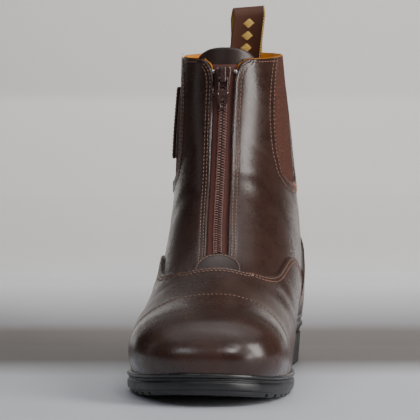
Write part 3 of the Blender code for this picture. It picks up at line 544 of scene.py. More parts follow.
def skin(u, v):
    """Points of the last's outside.

    u picks a slanted section, 0 at the toe and 1 at the collar. v runs along it: -1 at the lateral foot
    edge, 0 on the ridge, 1 at the medial foot edge. From the ridge to the widest line a section is a
    quarter superellipse; from there a quarter ellipse, cut short at the feather line or closed on the
    back seam.
    """
    u, v = np.broadcast_arrays(np.asarray(u, float), np.asarray(v, float))
    row = {name: smooth(SECTIONS, name, STOPS, u) for name in SECTIONS}
    foot_along = np.minimum(row["foot"], UPPER_HEEL)
    foot_up = feather(foot_along) + np.clip(row["foot"] - UPPER_HEEL, 0, None) * SOLE_LENGTH
    on_back = row["foot"] > UPPER_HEEL
    foot_along = np.where(on_back, 1 - smooth(BACK, "setback", "up", foot_up / COLLAR_HEIGHT), foot_along)
    seat = np.clip((foot_along - UPPER_TOE) / (UPPER_HEEL - UPPER_TOE), 0, 1)
    sole_middle, sole_half = outline(seat)
    out = LEDGE + (HEEL_LEDGE - LEDGE) * shank(seat)
    edge = np.where(on_back, 0, sole_half - out * np.sqrt(np.clip(4 * seat * (1 - seat), 0, None)))
    back_seam = smooth(BACK, "side", "up", foot_up / COLLAR_HEIGHT) * BALL_WIDTH - CENTRE
    foot_middle = np.where(on_back, back_seam, sole_middle)
    middle = row["middle"] * BALL_WIDTH - CENTRE
    ridge = row["ridge"] * BALL_WIDTH - CENTRE
    side = np.where(v < 0, -1.0, 1.0)
    half = np.maximum(np.where(v < 0, row["lateral"], row["medial"]) * BALL_WIDTH, edge + 1e-6)
    reach = np.abs(v)
    turn = np.clip(reach / UPPER_ARC, 0, 1) * math.pi / 2
    power = 2 / row["full"]
    down_top = row["widest"] * (1 - np.cos(turn) ** power)
    out_top = ridge + (middle + side * half - ridge) * np.sin(turn) ** power
    last = np.arccos(np.clip(edge / half, 0, 1))
    low = last * np.clip((reach - UPPER_ARC) / (1 - UPPER_ARC), 0, 1)
    share = np.sin(low) / np.sin(np.maximum(last, 1e-6))
    down_low = row["widest"] + (1 - row["widest"]) * share
    out_low = middle + (foot_middle - middle) * share**2 + side * half * np.cos(low)
    down = np.where(reach <= UPPER_ARC, down_top, down_low)
    x = np.where(reach <= UPPER_ARC, out_top, out_low)
    along = row["ridge_along"] + (foot_along - row["ridge_along"]) * down
    up = row["ridge_up"] * COLLAR_HEIGHT + (foot_up - row["ridge_up"] * COLLAR_HEIGHT) * down
    return np.stack([x, (along - 0.5) * SOLE_LENGTH, up], axis=-1)


def skin_normal(u, v):
    """The outward direction on the last: the cross product of its slopes along u and v."""
    u, v = np.broadcast_arrays(np.clip(u, 0.004, None), np.clip(v, -0.999, 0.999))
    along_u = skin(u + 0.002, v) - skin(u - 0.002, v)
    along_v = skin(u, v + 0.004) - skin(u, v - 0.004)
    normal = np.cross(along_v, along_u)
    return normal / np.maximum(np.linalg.norm(normal, axis=-1, keepdims=True), 1e-12)


def side_view(points):
    """A point's place in side view: share of the sole's length, share of the collar's height."""
    return points[..., 1] / SOLE_LENGTH + 0.5, points[..., 2] / COLLAR_HEIGHT


def first_crossing(values, stops):
    """For each row of values, the place among the stops where they first change sign, else the last stop."""
    change = (values[:, 1:] > 0) != (values[:, :-1] > 0)
    found = change.any(1)
    at = np.where(found, change.argmax(1), values.shape[1] - 2)
    row = np.arange(len(values))
    first, second = values[row, at], values[row, at + 1]
    share = np.where(found, first / np.where(first == second, 1, first - second), 1.0)
    return stops[at] + share * (stops[at + 1] - stops[at])


def zip_middle(up):
    """The zip's line across the front: it leans to the lateral side, as the ridge does."""
    level = np.clip(up, ZIP_LINE["up"][0], ZIP_LINE["up"][-1])
    return smooth(ZIP_LINE, "across", "up", level) * BALL_WIDTH - CENTRE


def throat_half(up):
    """Half the throat's width: round panel corners at the collar, even along the zip."""
    top = np.clip((up - CORNER_FROM) / (1 - CORNER_FROM), 0, 1)
    return ZIP_OPENING / 2 + (CORNER_TOP - ZIP_OPENING / 2) * (1 - np.sqrt(1 - np.minimum(top, 0.995) ** 2))


def beside_zip(u, side, half):
    """The v at which a section is half a width beside the zip's line; half may be a function of height."""
    stops = np.linspace(0, 0.75, 500)
    points = skin(u[:, None], side * stops[None, :])
    up = points[..., 2] / COLLAR_HEIGHT
    width = half(up) if callable(half) else half
    return side * first_crossing(side * (points[..., 0] - zip_middle(up)) - width, stops)


def gore_depth(along, up):
    """How far outside the gore's cut-out a place is, as a share of the sole's length; below 0 inside it."""
    level = np.maximum(up, GORE_EDGES["up"][0])
    front = smooth(GORE_EDGES, "front", "up", level)
    back = smooth(GORE_EDGES, "back", "up", level)
    return np.maximum(np.maximum(front - along, along - back), GORE_EDGES["up"][0] - up)


def gore_opening(rows, side):
    """The gore's tip as u and v, where the lowest row meets its cut-out, and each row's v at both edges."""
    stops = np.linspace(0.05, 0.99, 900)
    every_u = np.linspace(0.5, 1, 1500)
    depth = gore_depth(*side_view(skin(every_u[:, None], side * stops[None, :])))
    lowest = int(np.argmax((depth < 0).any(1)))
    tip_u, tip_v = every_u[lowest], stops[depth[lowest].argmin()]
    depth = gore_depth(*side_view(skin(rows[:, None], side * stops[None, :])))
    enter = first_crossing(depth, stops)
    leave = first_crossing(depth[:, ::-1], stops[::-1])
    opened = (depth < 0).any(1) & (rows > tip_u)
    return tip_u, side * tip_v, side * np.where(opened, enter, tip_v), side * np.where(opened, leave, tip_v)


def distance_to(points, line):
    """Each point's distance from a line of points."""
    flat = points.reshape(-1, 3)
    start, span = line[:-1], line[1:] - line[:-1]
    best = np.full(len(flat), np.inf)
    for first in range(0, len(flat), 4000):
        part = flat[first:first + 4000]
        off = part[:, None] - start[None]
        share = np.clip((off * span).sum(-1) / np.maximum((span**2).sum(-1), 1e-15), 0, 1)
        best[first:first + 4000] = np.sqrt(((off - share[..., None] * span) ** 2).sum(-1).min(1))
    return best.reshape(points.shape[:-1])


def rounded(distance, radius):
    """0 at an edge, 1 from the radius inwards, round in between."""
    return np.sqrt(np.clip(1 - (1 - np.clip(distance / radius, 0, 1)) ** 2, 0, 1))


def ditch(distance, middle, width):
    """A soft trough's profile, 1 in its middle."""
    return np.exp(-((distance - middle) / width) ** 2)


# Creases and hollows of the worn-in leather. Each runs from one point to another in side view on a side
# (-1 lateral, 1 medial, 0 both); width and depth in metres, a negative depth is a ridge.
CREASES = {
    "side": (1, 1, 1, -1, -1, -1, 1, -1, 1, -1, 1, -1, 1, 1, -1, 0, 0),
    "along_1": (0.500, 0.505, 0.560, 0.500, 0.520, 0.590, 0.390, 0.385, 0.300, 0.300, 0.330, 0.345, 0.520,
                0.640, 0.650, 0.860, 0.900),
    "up_1": (0.580, 0.660, 0.560, 0.600, 0.520, 0.600, 0.330, 0.330, 0.300, 0.300, 0.280, 0.300, 0.470,
             0.520, 0.520, 0.620, 0.560),
    "along_2": (0.610, 0.600, 0.700, 0.600, 0.640, 0.690, 0.470, 0.460, 0.390, 0.380, 0.450, 0.470, 0.680,
                0.760, 0.780, 0.960, 0.965),
    "up_2": (0.500, 0.600, 0.480, 0.510, 0.460, 0.500, 0.200, 0.210, 0.170, 0.180, 0.140, 0.150, 0.420,
             0.430, 0.420, 0.600, 0.540),
    "width": (0.0050, 0.0032, 0.0060, 0.0050, 0.0042, 0.0060, 0.0045, 0.0045, 0.0055, 0.0055, 0.0040, 0.0040,
              0.0070, 0.0060, 0.0060, 0.0050, 0.0045),
    "depth": (0.00040, 0.00018, 0.00018, 0.00040, 0.00030, 0.00018, 0.00034, 0.00034, 0.00034, 0.00034,
              0.00024, 0.00024, 0.00018, 0.00010, 0.00010, 0.00030, 0.00024),
}


def creased(points, side):
    """How far the leather sinks at each point, in metres: the sum of the soft troughs with their raised lips.

    A trough's depth falls off as exp(-(d/width)^2) across it and as a rounded bump along it.
    """
    place = points[..., 1:3]
    sink = np.zeros(points.shape[:-1])
    for which, a, b, c, d, width, depth in zip(*CREASES.values()):
        start = np.array([(a - 0.5) * SOLE_LENGTH, b * COLLAR_HEIGHT])
        span = np.array([(c - 0.5) * SOLE_LENGTH, d * COLLAR_HEIGHT]) - start
        share = ((place - start) @ span) / (span @ span)
        bow = 0.06 * np.linalg.norm(span) * 4 * np.clip(share, 0, 1) * (1 - np.clip(share, 0, 1))
        off = ((place - start) @ np.array([-span[1], span[0]])) / np.linalg.norm(span) - bow
        along = np.clip(1 - (2 * share - 1) ** 2, 0, 1) ** 1.5
        across_it = np.exp(-(off / width) ** 2) - 0.45 * np.exp(-((np.abs(off) - 1.9 * width) / width) ** 2)
        wanted = 1.0 if which == 0 else np.where(side * which > 0, 1.0, 0.0)
        sink += depth * across_it * along * wanted
    return sink


def cells(tree, place, scale, feature="DISTANCE_TO_EDGE"):
    """A Voronoi texture's distance, for grain and nap."""
    texture = tree.nodes.new("ShaderNodeTexVoronoi")
    texture.feature = feature
    texture.inputs["Scale"].default_value = scale
    tree.links.new(place, texture.inputs["Vector"])
    return texture.outputs["Distance"]


def sums(tree, operation, first, second):
    """A Math node on two values, each a number or a socket."""
    node = tree.nodes.new("ShaderNodeMath")
    node.operation = operation
    for key, value in ((0, first), (1, second)):
        if isinstance(value, (int, float)):
            node.inputs[key].default_value = value
        else:
            tree.links.new(value, node.inputs[key])
    return node.outputs["Value"]


def leather(name, dark, light_tone, shine=0.30, grain_scale=1150.0):
    """Polished smooth leather: fine pebbled grain, faint pull-up mottling, a waxed coat, darker edges."""
    made, tree, shader, place = procedural(name)
    mottle = noise(tree, place, 34, 3.0, 0.6)
    fine = noise(tree, place, 260, 3.0, 0.6)
    tone = mixed(tree, spread(tree, mottle, 0.30, 0.72), dark, light_tone)
    tone = mixed(tree, spread(tree, fine, 0.35, 0.75, 0.0, 0.22), tone, light_tone)
    edge = stored(tree, "edge")
    worn = spread(tree, edge, 0.0002, 0.0011, 0.55, 0.0)
    tree.links.new(mixed(tree, worn, tone, tuple(0.45 * c for c in dark)), shader.inputs["Base Color"])
    shine_out = sums(tree, "ADD", spread(tree, mottle, 0.25, 0.75, shine - 0.05, shine + 0.07),
                     spread(tree, fine, 0.3, 0.7, -0.02, 0.04))
    tree.links.new(shine_out, shader.inputs["Roughness"])
    shader.inputs["Specular IOR Level"].default_value = 0.42
    shader.inputs["Coat Weight"].default_value = 0.30
    shader.inputs["Coat Roughness"].default_value = 0.22
    shader.inputs["Coat IOR"].default_value = 1.5
    pebble = spread(tree, cells(tree, place, grain_scale), 0.0, 0.22)
    under = bumped(tree, shader, pebble, 0.00005, 0.35)
    under = bumped(tree, shader, noise(tree, place, 520, 3.0, 0.6), 0.00010, 0.35, under)
    pull = noise(tree, place, 95, 2.0, 0.5, (1.0, 1.6, 0.55))
    under = bumped(tree, shader, pull, 0.00035, 0.22, under)
    tree.links.new(under, shader.inputs["Coat Normal"])
    return made


shaft_leather = leather("shaft_leather", (0.027, 0.0120, 0.0088), (0.045, 0.0205, 0.0150), 0.27)


def near_edge(first, last, count):
    """Shares 0..1 across a panel: the given fine steps at its first and last edge, even ones between."""
    return np.concatenate([first, np.linspace(first[-1], 1 - last[-1], count)[1:-1], 1 - last[::-1]])


EDGE_STEPS = np.array([0.0, 0.00012, 0.00028, 0.0005, 0.0008, 0.0012, 0.0017, 0.0023, 0.0030, 0.0038, 0.0048])


def drape(parts):
    """Points, quads, outward directions and edge distances of grids laid on the last, as one mesh.

    A part is a dict of grids u, v, lift and edge. Where rims is given, ((first row, last row), (first column,
    last column)) as 0 or 1, that border is repeated lower by the sink, so that the edge turns in.
    """
    points, faces, outward, edges, count = [], [], [], [], 0
    for part in parts:
        rims = part.get("rims", ((0, 0), (0, 0)))
        sink = np.zeros_like(part["u"]) + part.get("sink", 0.0012)
        u, v, lift, edge, sink = (np.pad(part[key] if key != "sink" else sink, rims, mode="edge")
                                  for key in ("u", "v", "lift", "edge", "sink"))
        rows, columns = u.shape
        on_rim = np.zeros(u.shape, bool)
        on_rim[:rims[0][0]] = True
        on_rim[rows - rims[0][1]:] = True
        on_rim[:, :rims[1][0]] = True
        on_rim[:, columns - rims[1][1]:] = True
        normal = skin_normal(u, v)
        points.append((skin(u, v) + normal * (lift - np.where(on_rim, sink, 0))[..., None]).reshape(-1, 3))
        faces.append(grid_faces(rows, columns, start=count))
        outward.append(normal.reshape(-1, 3))
        edges.append(edge.ravel())
        count += rows * columns
    return np.concatenate(points), np.concatenate(faces), np.concatenate(outward), np.concatenate(edges)


shaft_parts = []
shaft_seams = {}
collar_steps = 1 - EDGE_STEPS / 0.30
for side in (-1, 1):
    tip_u = gore_opening(np.array([0.9]), side)[0]
    rows = np.unique(np.concatenate([np.linspace(0.30, collar_steps[-1], 140), collar_steps,
                                     tip_u + 0.03 * np.linspace(0, 1, 14) ** 2]))
    tip_u, tip_v, front_v, back_v = gore_opening(rows, side)
    throat_v = beside_zip(rows, side, throat_half)
    opened = rows > tip_u
    gore_line = np.concatenate([skin(rows[opened], front_v[opened])[::-1], skin(tip_u, tip_v)[None],
                                skin(rows[opened], back_v[opened])])
    throat_line = skin(rows, throat_v)
    collar_line = skin(np.ones(300), np.linspace(throat_v[-1], 1.0 * side, 300))
    shaft_seams[side] = {"rows": rows, "throat": throat_v, "front": front_v, "back": back_v, "opened": opened,
                         "gore_line": gore_line, "tip": (tip_u, tip_v)}
    for start_v, end_v in ((throat_v, front_v), (back_v, np.full(len(rows), 1.0 * side))):
        scale = np.linalg.norm(skin(rows, start_v + 0.01 * side) - skin(rows, start_v), axis=-1) / 0.01
        scale_end = np.linalg.norm(skin(rows, end_v) - skin(rows, end_v - 0.01 * side), axis=-1) / 0.01
        width = np.abs(end_v - start_v)
        share = np.stack([near_edge(EDGE_STEPS / a / w, EDGE_STEPS / b / w, 44)
                          for a, b, w in zip(scale, scale_end, width)])
        v = start_v[:, None] + (end_v - start_v)[:, None] * share
        u = np.broadcast_to(rows[:, None], v.shape)
        base = skin(u, v)
        to_gore = distance_to(base, gore_line)
        to_collar = distance_to(base, collar_line)
        to_throat = distance_to(base, throat_line)
        edge = np.minimum(np.minimum(to_gore, to_collar), to_throat)
        lift = 0.0009 * (rounded(edge, 0.0009) - 1)
        # The turned edge stands a little proud, each stitch row pulls the leather in, and the band round the
        # gore, where the webbing lies under it, stands a little higher
        lift += 0.00030 * ditch(to_throat, 0.0014, 0.0008) + 0.00018 * ditch(to_gore, 0.0014, 0.0008)
        for line, places in ((to_throat, ZIP_STITCHES), (to_gore, GORE_STITCHES),
                             (to_collar, (COLLAR_STITCHES,))):
            for middle in places:
                lift -= PULL_IN * ditch(line, middle, PULL_IN_WIDTH)
        lift += 0.00035 * np.clip((0.0075 - to_gore) / 0.0012, 0, 1)
        lift -= creased(base, side)
        sink = np.zeros_like(v) + 0.0011
        if start_v is throat_v:
            sink[:, -1] = np.where(opened, 0.0011, 0.0)
        else:
            sink[:, 0] = np.where(opened, 0.0011, 0.0)
        shaft_parts.append({"u": u, "v": v, "lift": lift, "edge": edge, "sink": sink,
                            "rims": ((0, 1), (1, 1 if start_v is throat_v else 0))})
points, faces, outward, edge = drape(shaft_parts)
make_piece("shaft", points, faces, shaft_leather, outward=outward, numbers={"edge": edge},
           replaces=["upper"])

# Vamp: the leather over the forefoot, lapped on the shaft with a folded edge and a double row of stitches.
# Its top line dips beside the instep and peaks over the ankle's front.

CAP_SEAM = {"along": (0.196, 0.206, 0.221, 0.226), "up": (0.00, 0.10, 0.31, 0.45)}
VAMP_SEAM = {
    "along": (0.332, 0.338, 0.356, 0.392, 0.440, 0.490, 0.538, 0.585, 0.640, 0.715),
    "up": (0.430, 0.376, 0.350, 0.335, 0.340, 0.362, 0.382, 0.374, 0.318, 0.230),
}
VAMP_END = 0.715
SEAM_STITCHES = (0.0021, 0.0044)


def cap_depth(along, up):
    """Below 0 in front of the toe cap's seam."""
    return along - smooth(CAP_SEAM, "along", "up", up)


def vamp_depth(along, up):
    """Below 0 under the vamp's top line and in front of its back edge."""
    level = np.clip(along, VAMP_SEAM["along"][0], VAMP_SEAM["along"][-1])
    return np.maximum(up - smooth(VAMP_SEAM, "up", "along", level), 3 * (along - VAMP_END))


def across_seam(v, depth, first, last):
    """The u at which the line of constant v first leaves the depth's inside."""
    stops = np.linspace(first, last, 1100)
    return first_crossing(depth(*side_view(skin(stops[None, :], v[:, None]))), stops)


def strip_shares(lengths, count):
    """Shares along strips of the given lengths: even steps, then the fine edge steps at the end."""
    return np.stack([near_edge(np.zeros(1), EDGE_STEPS / one, count) for one in lengths], axis=1)


def column_lengths(points):
    """The length of each column of a grid of points."""
    return np.linalg.norm(np.diff(points, axis=0), axis=-1).sum(0)


def lapped(edge):
    """An overlay's lift: a round edge with a slight rim, and a groove under each of its two stitch rows."""
    lift = 0.0019 * rounded(edge, 0.0009) + 0.00018 * ditch(edge, 0.0014, 0.0008)
    for middle in SEAM_STITCHES:
        lift -= PULL_IN * ditch(edge, middle, PULL_IN_WIDTH)
    return lift


def hemmed(part, pole=False):
    """A draped part's grid, quads, outward directions and edge distances, both its sides drawn 0.7 mm down.

    With a pole, the sheet also closes to the middle of its first row.
    """
    points, _, outward, edges = drape([part])
    columns = part["u"].shape[1]
    grid = points.reshape(-1, columns, 3)
    if pole:
        grid = np.concatenate([np.broadcast_to(grid[:1].mean(1, keepdims=True), (1, columns, 3)), grid])
    drop = [0, 0, 0.0007]
    grid = np.concatenate([grid[:, :1] - drop, grid, grid[:, -1:] - drop], axis=1)
    added = ((1 if pole else 0, 0), (1, 1))
    outward = np.pad(outward.reshape(-1, columns, 3), (*added, (0, 0)), mode="edge")
    edges = np.pad(edges.reshape(-1, columns), added, mode="edge")
    return grid, grid_faces(*grid.shape[:2]), outward, edges


vamp_v = np.unique(np.concatenate([
    np.linspace(-1, 1, 210), np.linspace(-0.9, -0.6, 40), np.linspace(0.6, 0.9, 40)]))
cap_u = across_seam(vamp_v, cap_depth, 0.02, 0.6)
vamp_u = across_seam(vamp_v, vamp_depth, 0.25, 0.75)
start_u = cap_u - 0.010
length = column_lengths(skin(start_u + (vamp_u - start_u) * np.linspace(0, 1, 40)[:, None], vamp_v))
share = strip_shares(length, 92)
u = start_u + (vamp_u - start_u) * share
v = np.broadcast_to(vamp_v, u.shape)
base = skin(u, v)
edge = distance_to(base, skin(vamp_u, vamp_v))
lift = lapped(edge) - PULL_IN * ditch(distance_to(base, skin(cap_u, vamp_v)), 0.0012, 0.0010)
lift -= creased(base, np.sign(v))
vamp_leather = leather("vamp_leather", (0.029, 0.0130, 0.0095), (0.048, 0.0220, 0.0160), 0.29)
grid, faces, outward, edge_out = hemmed({"u": u, "v": v, "lift": lift, "edge": edge, "sink": 0.0006,
                                         "rims": ((0, 1), (0, 0))})
make_piece("vamp_overlay", grid, faces, vamp_leather, outward=outward, numbers={"edge": edge_out},
           replaces=["vamp"])

# Toe cap: thicker, harder leather over a stiffener, straight across the toes and lapped on the vamp. The
# smoothest and glossiest part.

cap_v = np.unique(np.concatenate([np.linspace(-1, 1, 190), [-0.9995, 0.9995]]))
seam_of_cap = across_seam(cap_v, cap_depth, 0.02, 0.6)
length = column_lengths(skin(seam_of_cap * np.linspace(0, 1, 40)[:, None], cap_v))
u = seam_of_cap * np.clip(strip_shares(length, 96), 0.004, 1)
v = np.broadcast_to(cap_v, u.shape)
base = skin(u, v)
edge = distance_to(base, skin(seam_of_cap, cap_v))
lift = 0.0011 + 0.0018 * rounded(edge, 0.0010) + 0.00016 * ditch(edge, 0.0015, 0.0009)
for middle in (0.0020, 0.0044):
    lift -= 0.00020 * ditch(edge, middle, 0.00055)
cap_leather = leather("cap_leather", (0.028, 0.0125, 0.0092), (0.045, 0.0205, 0.0150), 0.24)
grid, faces, outward, edge_out = hemmed({"u": u, "v": v, "lift": lift, "edge": edge, "sink": 0.0010,
                                         "rims": ((0, 1), (0, 0))}, pole=True)
make_piece("toe_cap_overlay", grid, faces, cap_leather, outward=outward, numbers={"edge": edge_out},
           replaces=["toe_cap"])

# Heel counter: the stiffened leather round the heel, lapped on the shaft and meeting the vamp at the waist.
# Its top line rises to the back seam beside a double row of stitches.

COUNTER_SEAM = {
    "along": (0.640, 0.715, 0.770, 0.830, 0.900, 1.020),
    "up": (0.318, 0.230, 0.300, 0.385, 0.440, 0.468),
}


def counter_depth(along, up):
    """Below 0 under the counter's top line and behind the vamp's end."""
    level = np.clip(along, COUNTER_SEAM["along"][0], COUNTER_SEAM["along"][-1])
    return np.maximum(up - smooth(COUNTER_SEAM, "up", "along", level), 3 * (VAMP_END + 0.001 - along))


counter_parts = []
counter_edges = {}
first_u = float(np.interp(VAMP_END, SECTIONS["foot"], STOPS))
every_u = np.linspace(first_u, 1, 900)
inside = counter_depth(*side_view(skin(every_u, 1.0))) < 0
last_u = every_u[np.nonzero(inside)[0][-1]]
counter_rows = first_u + (last_u - first_u) * 0.5 * (1 - np.cos(np.linspace(0.02, math.pi - 0.01, 110)))
for side in (-1, 1):
    stops = np.linspace(1, 0.3, 900)
    depth = counter_depth(*side_view(skin(counter_rows[:, None], side * stops[None, :])))
    top_v = side * np.where(depth[:, 0] < 0, first_crossing(depth, stops), 1.0)
    counter_edges[side] = top_v
    length = column_lengths(skin(counter_rows, side + (top_v - side) * np.linspace(0, 1, 30)[:, None]))
    share = strip_shares(np.maximum(length, 0.0075), 36)
    v = side + (top_v - side) * share
    u = np.broadcast_to(counter_rows, v.shape)
    base = skin(u, v)
    edge = distance_to(base, skin(counter_rows, top_v))
    lift = lapped(edge) - 0.5 * creased(base, side)
    counter_parts.append({"u": u, "v": v, "lift": lift, "edge": edge, "sink": 0.0006,
                          "rims": ((0, 1), (0, 0))})
points, faces, outward, edge_out = drape(counter_parts)
make_piece("counter_overlay", points, faces, vamp_leather, outward=outward, numbers={"edge": edge_out},
           replaces=["heel_counter"])

# Lining: orange-tan pigskin glued to the inside of the shaft and the foot. Its edge stands just over the
# leather at the collar, where it shows as a bright line.

lining_leather, tree, shader, place = procedural("lining_leather")
toned(tree, shader, noise(tree, place, 60, 3.0), 0.3, 0.7, (0.62, 0.225, 0.022), (0.76, 0.32, 0.040))
shader.inputs["Roughness"].default_value = 0.62
bumped(tree, shader, spread(tree, cells(tree, place, 900), 0.0, 0.3), 0.00006, 0.5)
LINING_LIFT = -0.00205


def lining_half(up):
    """Half the lining's opening at the zip: wider than the throat, but closing in on it near the collar."""
    return throat_half(up) + 0.0009 - 0.0021 * np.clip((up - 0.955) / 0.03, 0, 1)


lining_rows = np.unique(np.concatenate([
    np.linspace(0.03, 1.0, 120), 1.0 + np.array([0.0008, 0.0016, 0.0021])]))
lining_parts = []
for side in (-1, 1):
    start_v = beside_zip(np.minimum(lining_rows, 1.0), side, lining_half)
    start_v = np.where(skin(lining_rows, start_v)[..., 2] < 0.345 * COLLAR_HEIGHT, 0.0, start_v)
    v = start_v[:, None] + (side * 1.0 - start_v[:, None]) * np.linspace(0, 1, 60)[None, :]
    u = np.broadcast_to(lining_rows[:, None], v.shape)
    lift = np.where(u > 1.0, LINING_LIFT + 0.0002, LINING_LIFT)
    lining_parts.append({"u": u, "v": v, "lift": lift, "edge": 0 * u, "sink": -0.0010,
                         "rims": ((0, 1), (1, 0))})
points, faces, outward, edge_out = drape(lining_parts)
make_piece("lining", points, faces, lining_leather, outward=-outward)

# Sock: the board that closes the bottom inside, covered with the lining's leather. The upper's lower edge is
# lasted round it.

BOARD_INSET = LEDGE + WALL + 0.0022
sock_along = UPPER_TOE + (UPPER_HEEL - UPPER_TOE) * end_to_end(90)
sock_rings = []
for inset, rise in ((BOARD_INSET, GAP), (BOARD_INSET - 0.0004, 0.0022), (BOARD_INSET - 0.0002, 0.0028),
                    (BOARD_INSET + 0.0006, 0.0030)):
    x, y = ring_points(sock_along, inset)
    sock_rings.append(np.stack([x, y, feather(y / SOLE_LENGTH + 0.5) + rise], axis=-1))
sock_rings = np.array(sock_rings)
points, faces = closed_rings(sock_rings, across(sock_rings[0], 3), across(sock_rings[-1], 3))
make_piece("sock", points, faces, lining_leather, replaces=["insole"], sharp=50)

# Gores: elastic webbing let into the sides, ribbed along its length, sewn behind the leather's edge.
# They narrow to a tip at the foot.

webbing, tree, shader, place = procedural("elastic_webbing")
rib = sums(tree, "SINE", sums(tree, "MULTIPLY", stored(tree, "across"), 2 * math.pi / 0.00125), 0.0)
weft = sums(tree, "SINE", sums(tree, "MULTIPLY", stored(tree, "height"), 2 * math.pi / 0.00085), 0.0)
weave = sums(tree, "ADD", sums(tree, "MULTIPLY", rib, 0.62), sums(tree, "MULTIPLY", weft, 0.38))
weave = spread(tree, weave, -1.0, 1.0)
tone = mixed(tree, weave, (0.018, 0.0062, 0.0046), (0.125, 0.048, 0.033))
lint = spread(tree, noise(tree, place, 900, 2.0), 0.45, 0.70, 0.0, 0.45)
tone = mixed(tree, lint, tone, (0.20, 0.088, 0.060))
tree.links.new(tone, shader.inputs["Base Color"])
shader.inputs["Roughness"].default_value = 0.85
shader.inputs["Specular IOR Level"].default_value = 0.2
bumped(tree, shader, weave, 0.00022, 0.9)
for side, name in ((-1, "lateral"), (1, "medial")):
    tip_u, tip_v = shaft_seams[side]["tip"]
    rows = np.unique(np.concatenate([
        tip_u + (1 - tip_u) * np.linspace(0, 1, 60), tip_u + 0.02 * np.linspace(0, 1, 10)]))
    _, _, front_v, back_v = gore_opening(rows, side)
    reach = 0.004 * side
    v = (front_v - reach)[:, None] + (back_v - front_v + 2 * reach)[:, None] * np.linspace(0, 1, 40)[None, :]
    u = np.broadcast_to(rows[:, None], v.shape)
    points, faces, outward, _ = drape([{"u": u, "v": v, "lift": 0 * u - 0.00095, "edge": 0 * u,
                                        "rims": ((0, 1), (0, 0)), "sink": 0.0010}])
    base = skin(u, v)
    across_it = np.pad(base[..., 1], ((0, 1), (0, 0)), mode="edge")
    height = np.pad(base[..., 2], ((0, 1), (0, 0)), mode="edge")
    make_piece(f"webbing_{name}", points, faces, webbing, outward=outward,
               numbers={"across": across_it, "height": height}, replaces=[f"gore_{name}"])

# Side tab: a plain flat leather tab, cut from a redder hide and sewn on the lateral gore along its edges.
# Its border has one row of stitches.


def side_metres(points):
    """A point's place in side view in metres."""
    return points[..., 1], points[..., 2]


net_u, net_v = np.meshgrid(np.linspace(0.02, 1.08, 130), np.linspace(0, 1, 60), indexing="ij")


def on_last(side, first, second, view):
    """u and v at which the last passes given places of a view, on one side.

    The nearest knot of a coarse net is the start, and Newton's method with measured slopes closes in on it.
    """
    first, second = np.broadcast_arrays(np.asarray(first, float), np.asarray(second, float))
    knots = np.stack([net_u.ravel(), side * net_v.ravel()])
    seen = np.stack(view(skin(*knots)))
    wanted = np.stack([first.ravel(), second.ravel()])
    found = np.empty_like(wanted)
    for begin in range(0, wanted.shape[1], 2000):
        part = wanted[:, begin:begin + 2000]
        found[:, begin:begin + 2000] = knots[:, ((seen[:, None] - part[:, :, None]) ** 2).sum(0).argmin(1)]
    u, v = found
    step = 1e-4
    for _ in range(9):
        here = np.stack(view(skin(u, v)))
        by_u = (np.stack(view(skin(u + step, v))) - here) / step
        by_v = (np.stack(view(skin(u, v + step))) - here) / step
        miss = wanted - here
        area = by_u[0] * by_v[1] - by_u[1] * by_v[0]
        area = np.where(np.abs(area) < 1e-7, 1e-7, area)
        u = np.clip(u + np.clip((miss[0] * by_v[1] - miss[1] * by_v[0]) / area, -0.05, 0.05), 0.01, 1.10)
        v = v + np.clip((by_u[0] * miss[1] - by_u[1] * miss[0]) / area, -0.08, 0.08)
        v = np.clip(v, -1, 0.3) if side < 0 else np.clip(v, -0.3, 1)
    return u.reshape(first.shape), v.reshape(first.shape)


def slab(front, back):
    """A closed sheet's points and quads from its front and back grids, its rims closed midway."""
    ring = np.concatenate([front, back[:, ::-1]], axis=1)
    middle = 0.5 * (front + back)
    closed = np.concatenate([middle, middle[:, ::-1]], axis=1)
    ring = np.concatenate([closed[:1], ring, closed[-1:]])
    return ring, grid_faces(*ring.shape[:2], around=True)


def eased(count, power=1.6):
    """Shares 0..1 that lie closer together at both ends."""
    even = np.linspace(-1, 1, count)
    return 0.5 + 0.5 * np.sign(even) * (1 - (1 - np.abs(even)) ** power)


def laid(side, first, second, view, top, thickness, radius=0.0006, edge=None):
    """A slab on the last over a grid of view places, its rims rounded; edge is the distance to the border."""
    u, v = on_last(side, first, second, view)
    base, normal = skin(u, v), skin_normal(u, v)
    if edge is None:
        border = np.concatenate([base[0], base[1:, -1], base[-1, ::-1][1:], base[::-1, 0][1:]])
        edge = distance_to(base, border)
    part = rounded(edge, radius)
    middle = top - thickness / 2
    front = base + normal * (middle + part * thickness / 2)[..., None]
    back = base + normal * (middle - part * thickness / 2)[..., None]
    return slab(front, back)


TAB_LOW, TAB_HIGH = 0.680, 0.913
TAB_FRONT, TAB_BACK = 0.713, 0.767
TAB_STITCHES = 0.0018
tab_y = (TAB_FRONT + (TAB_BACK - TAB_FRONT) * eased(16) - 0.5) * SOLE_LENGTH
tab_z = (TAB_LOW + (TAB_HIGH - TAB_LOW) * eased(40)) * COLLAR_HEIGHT
tab_leather = leather("tab_leather", (0.060, 0.0190, 0.0125), (0.105, 0.036, 0.023), 0.38)
points, faces = laid(-1, tab_y[None, :], tab_z[:, None], side_metres, 0.0014, 0.0018, 0.0005)
make_piece("tab_overlay", points, faces, tab_leather, replaces=["side_tab"])

# Back strip: a narrow strip of the same leather over the back seam, from the counter to the collar.
# A row of stitches holds each of its edges.

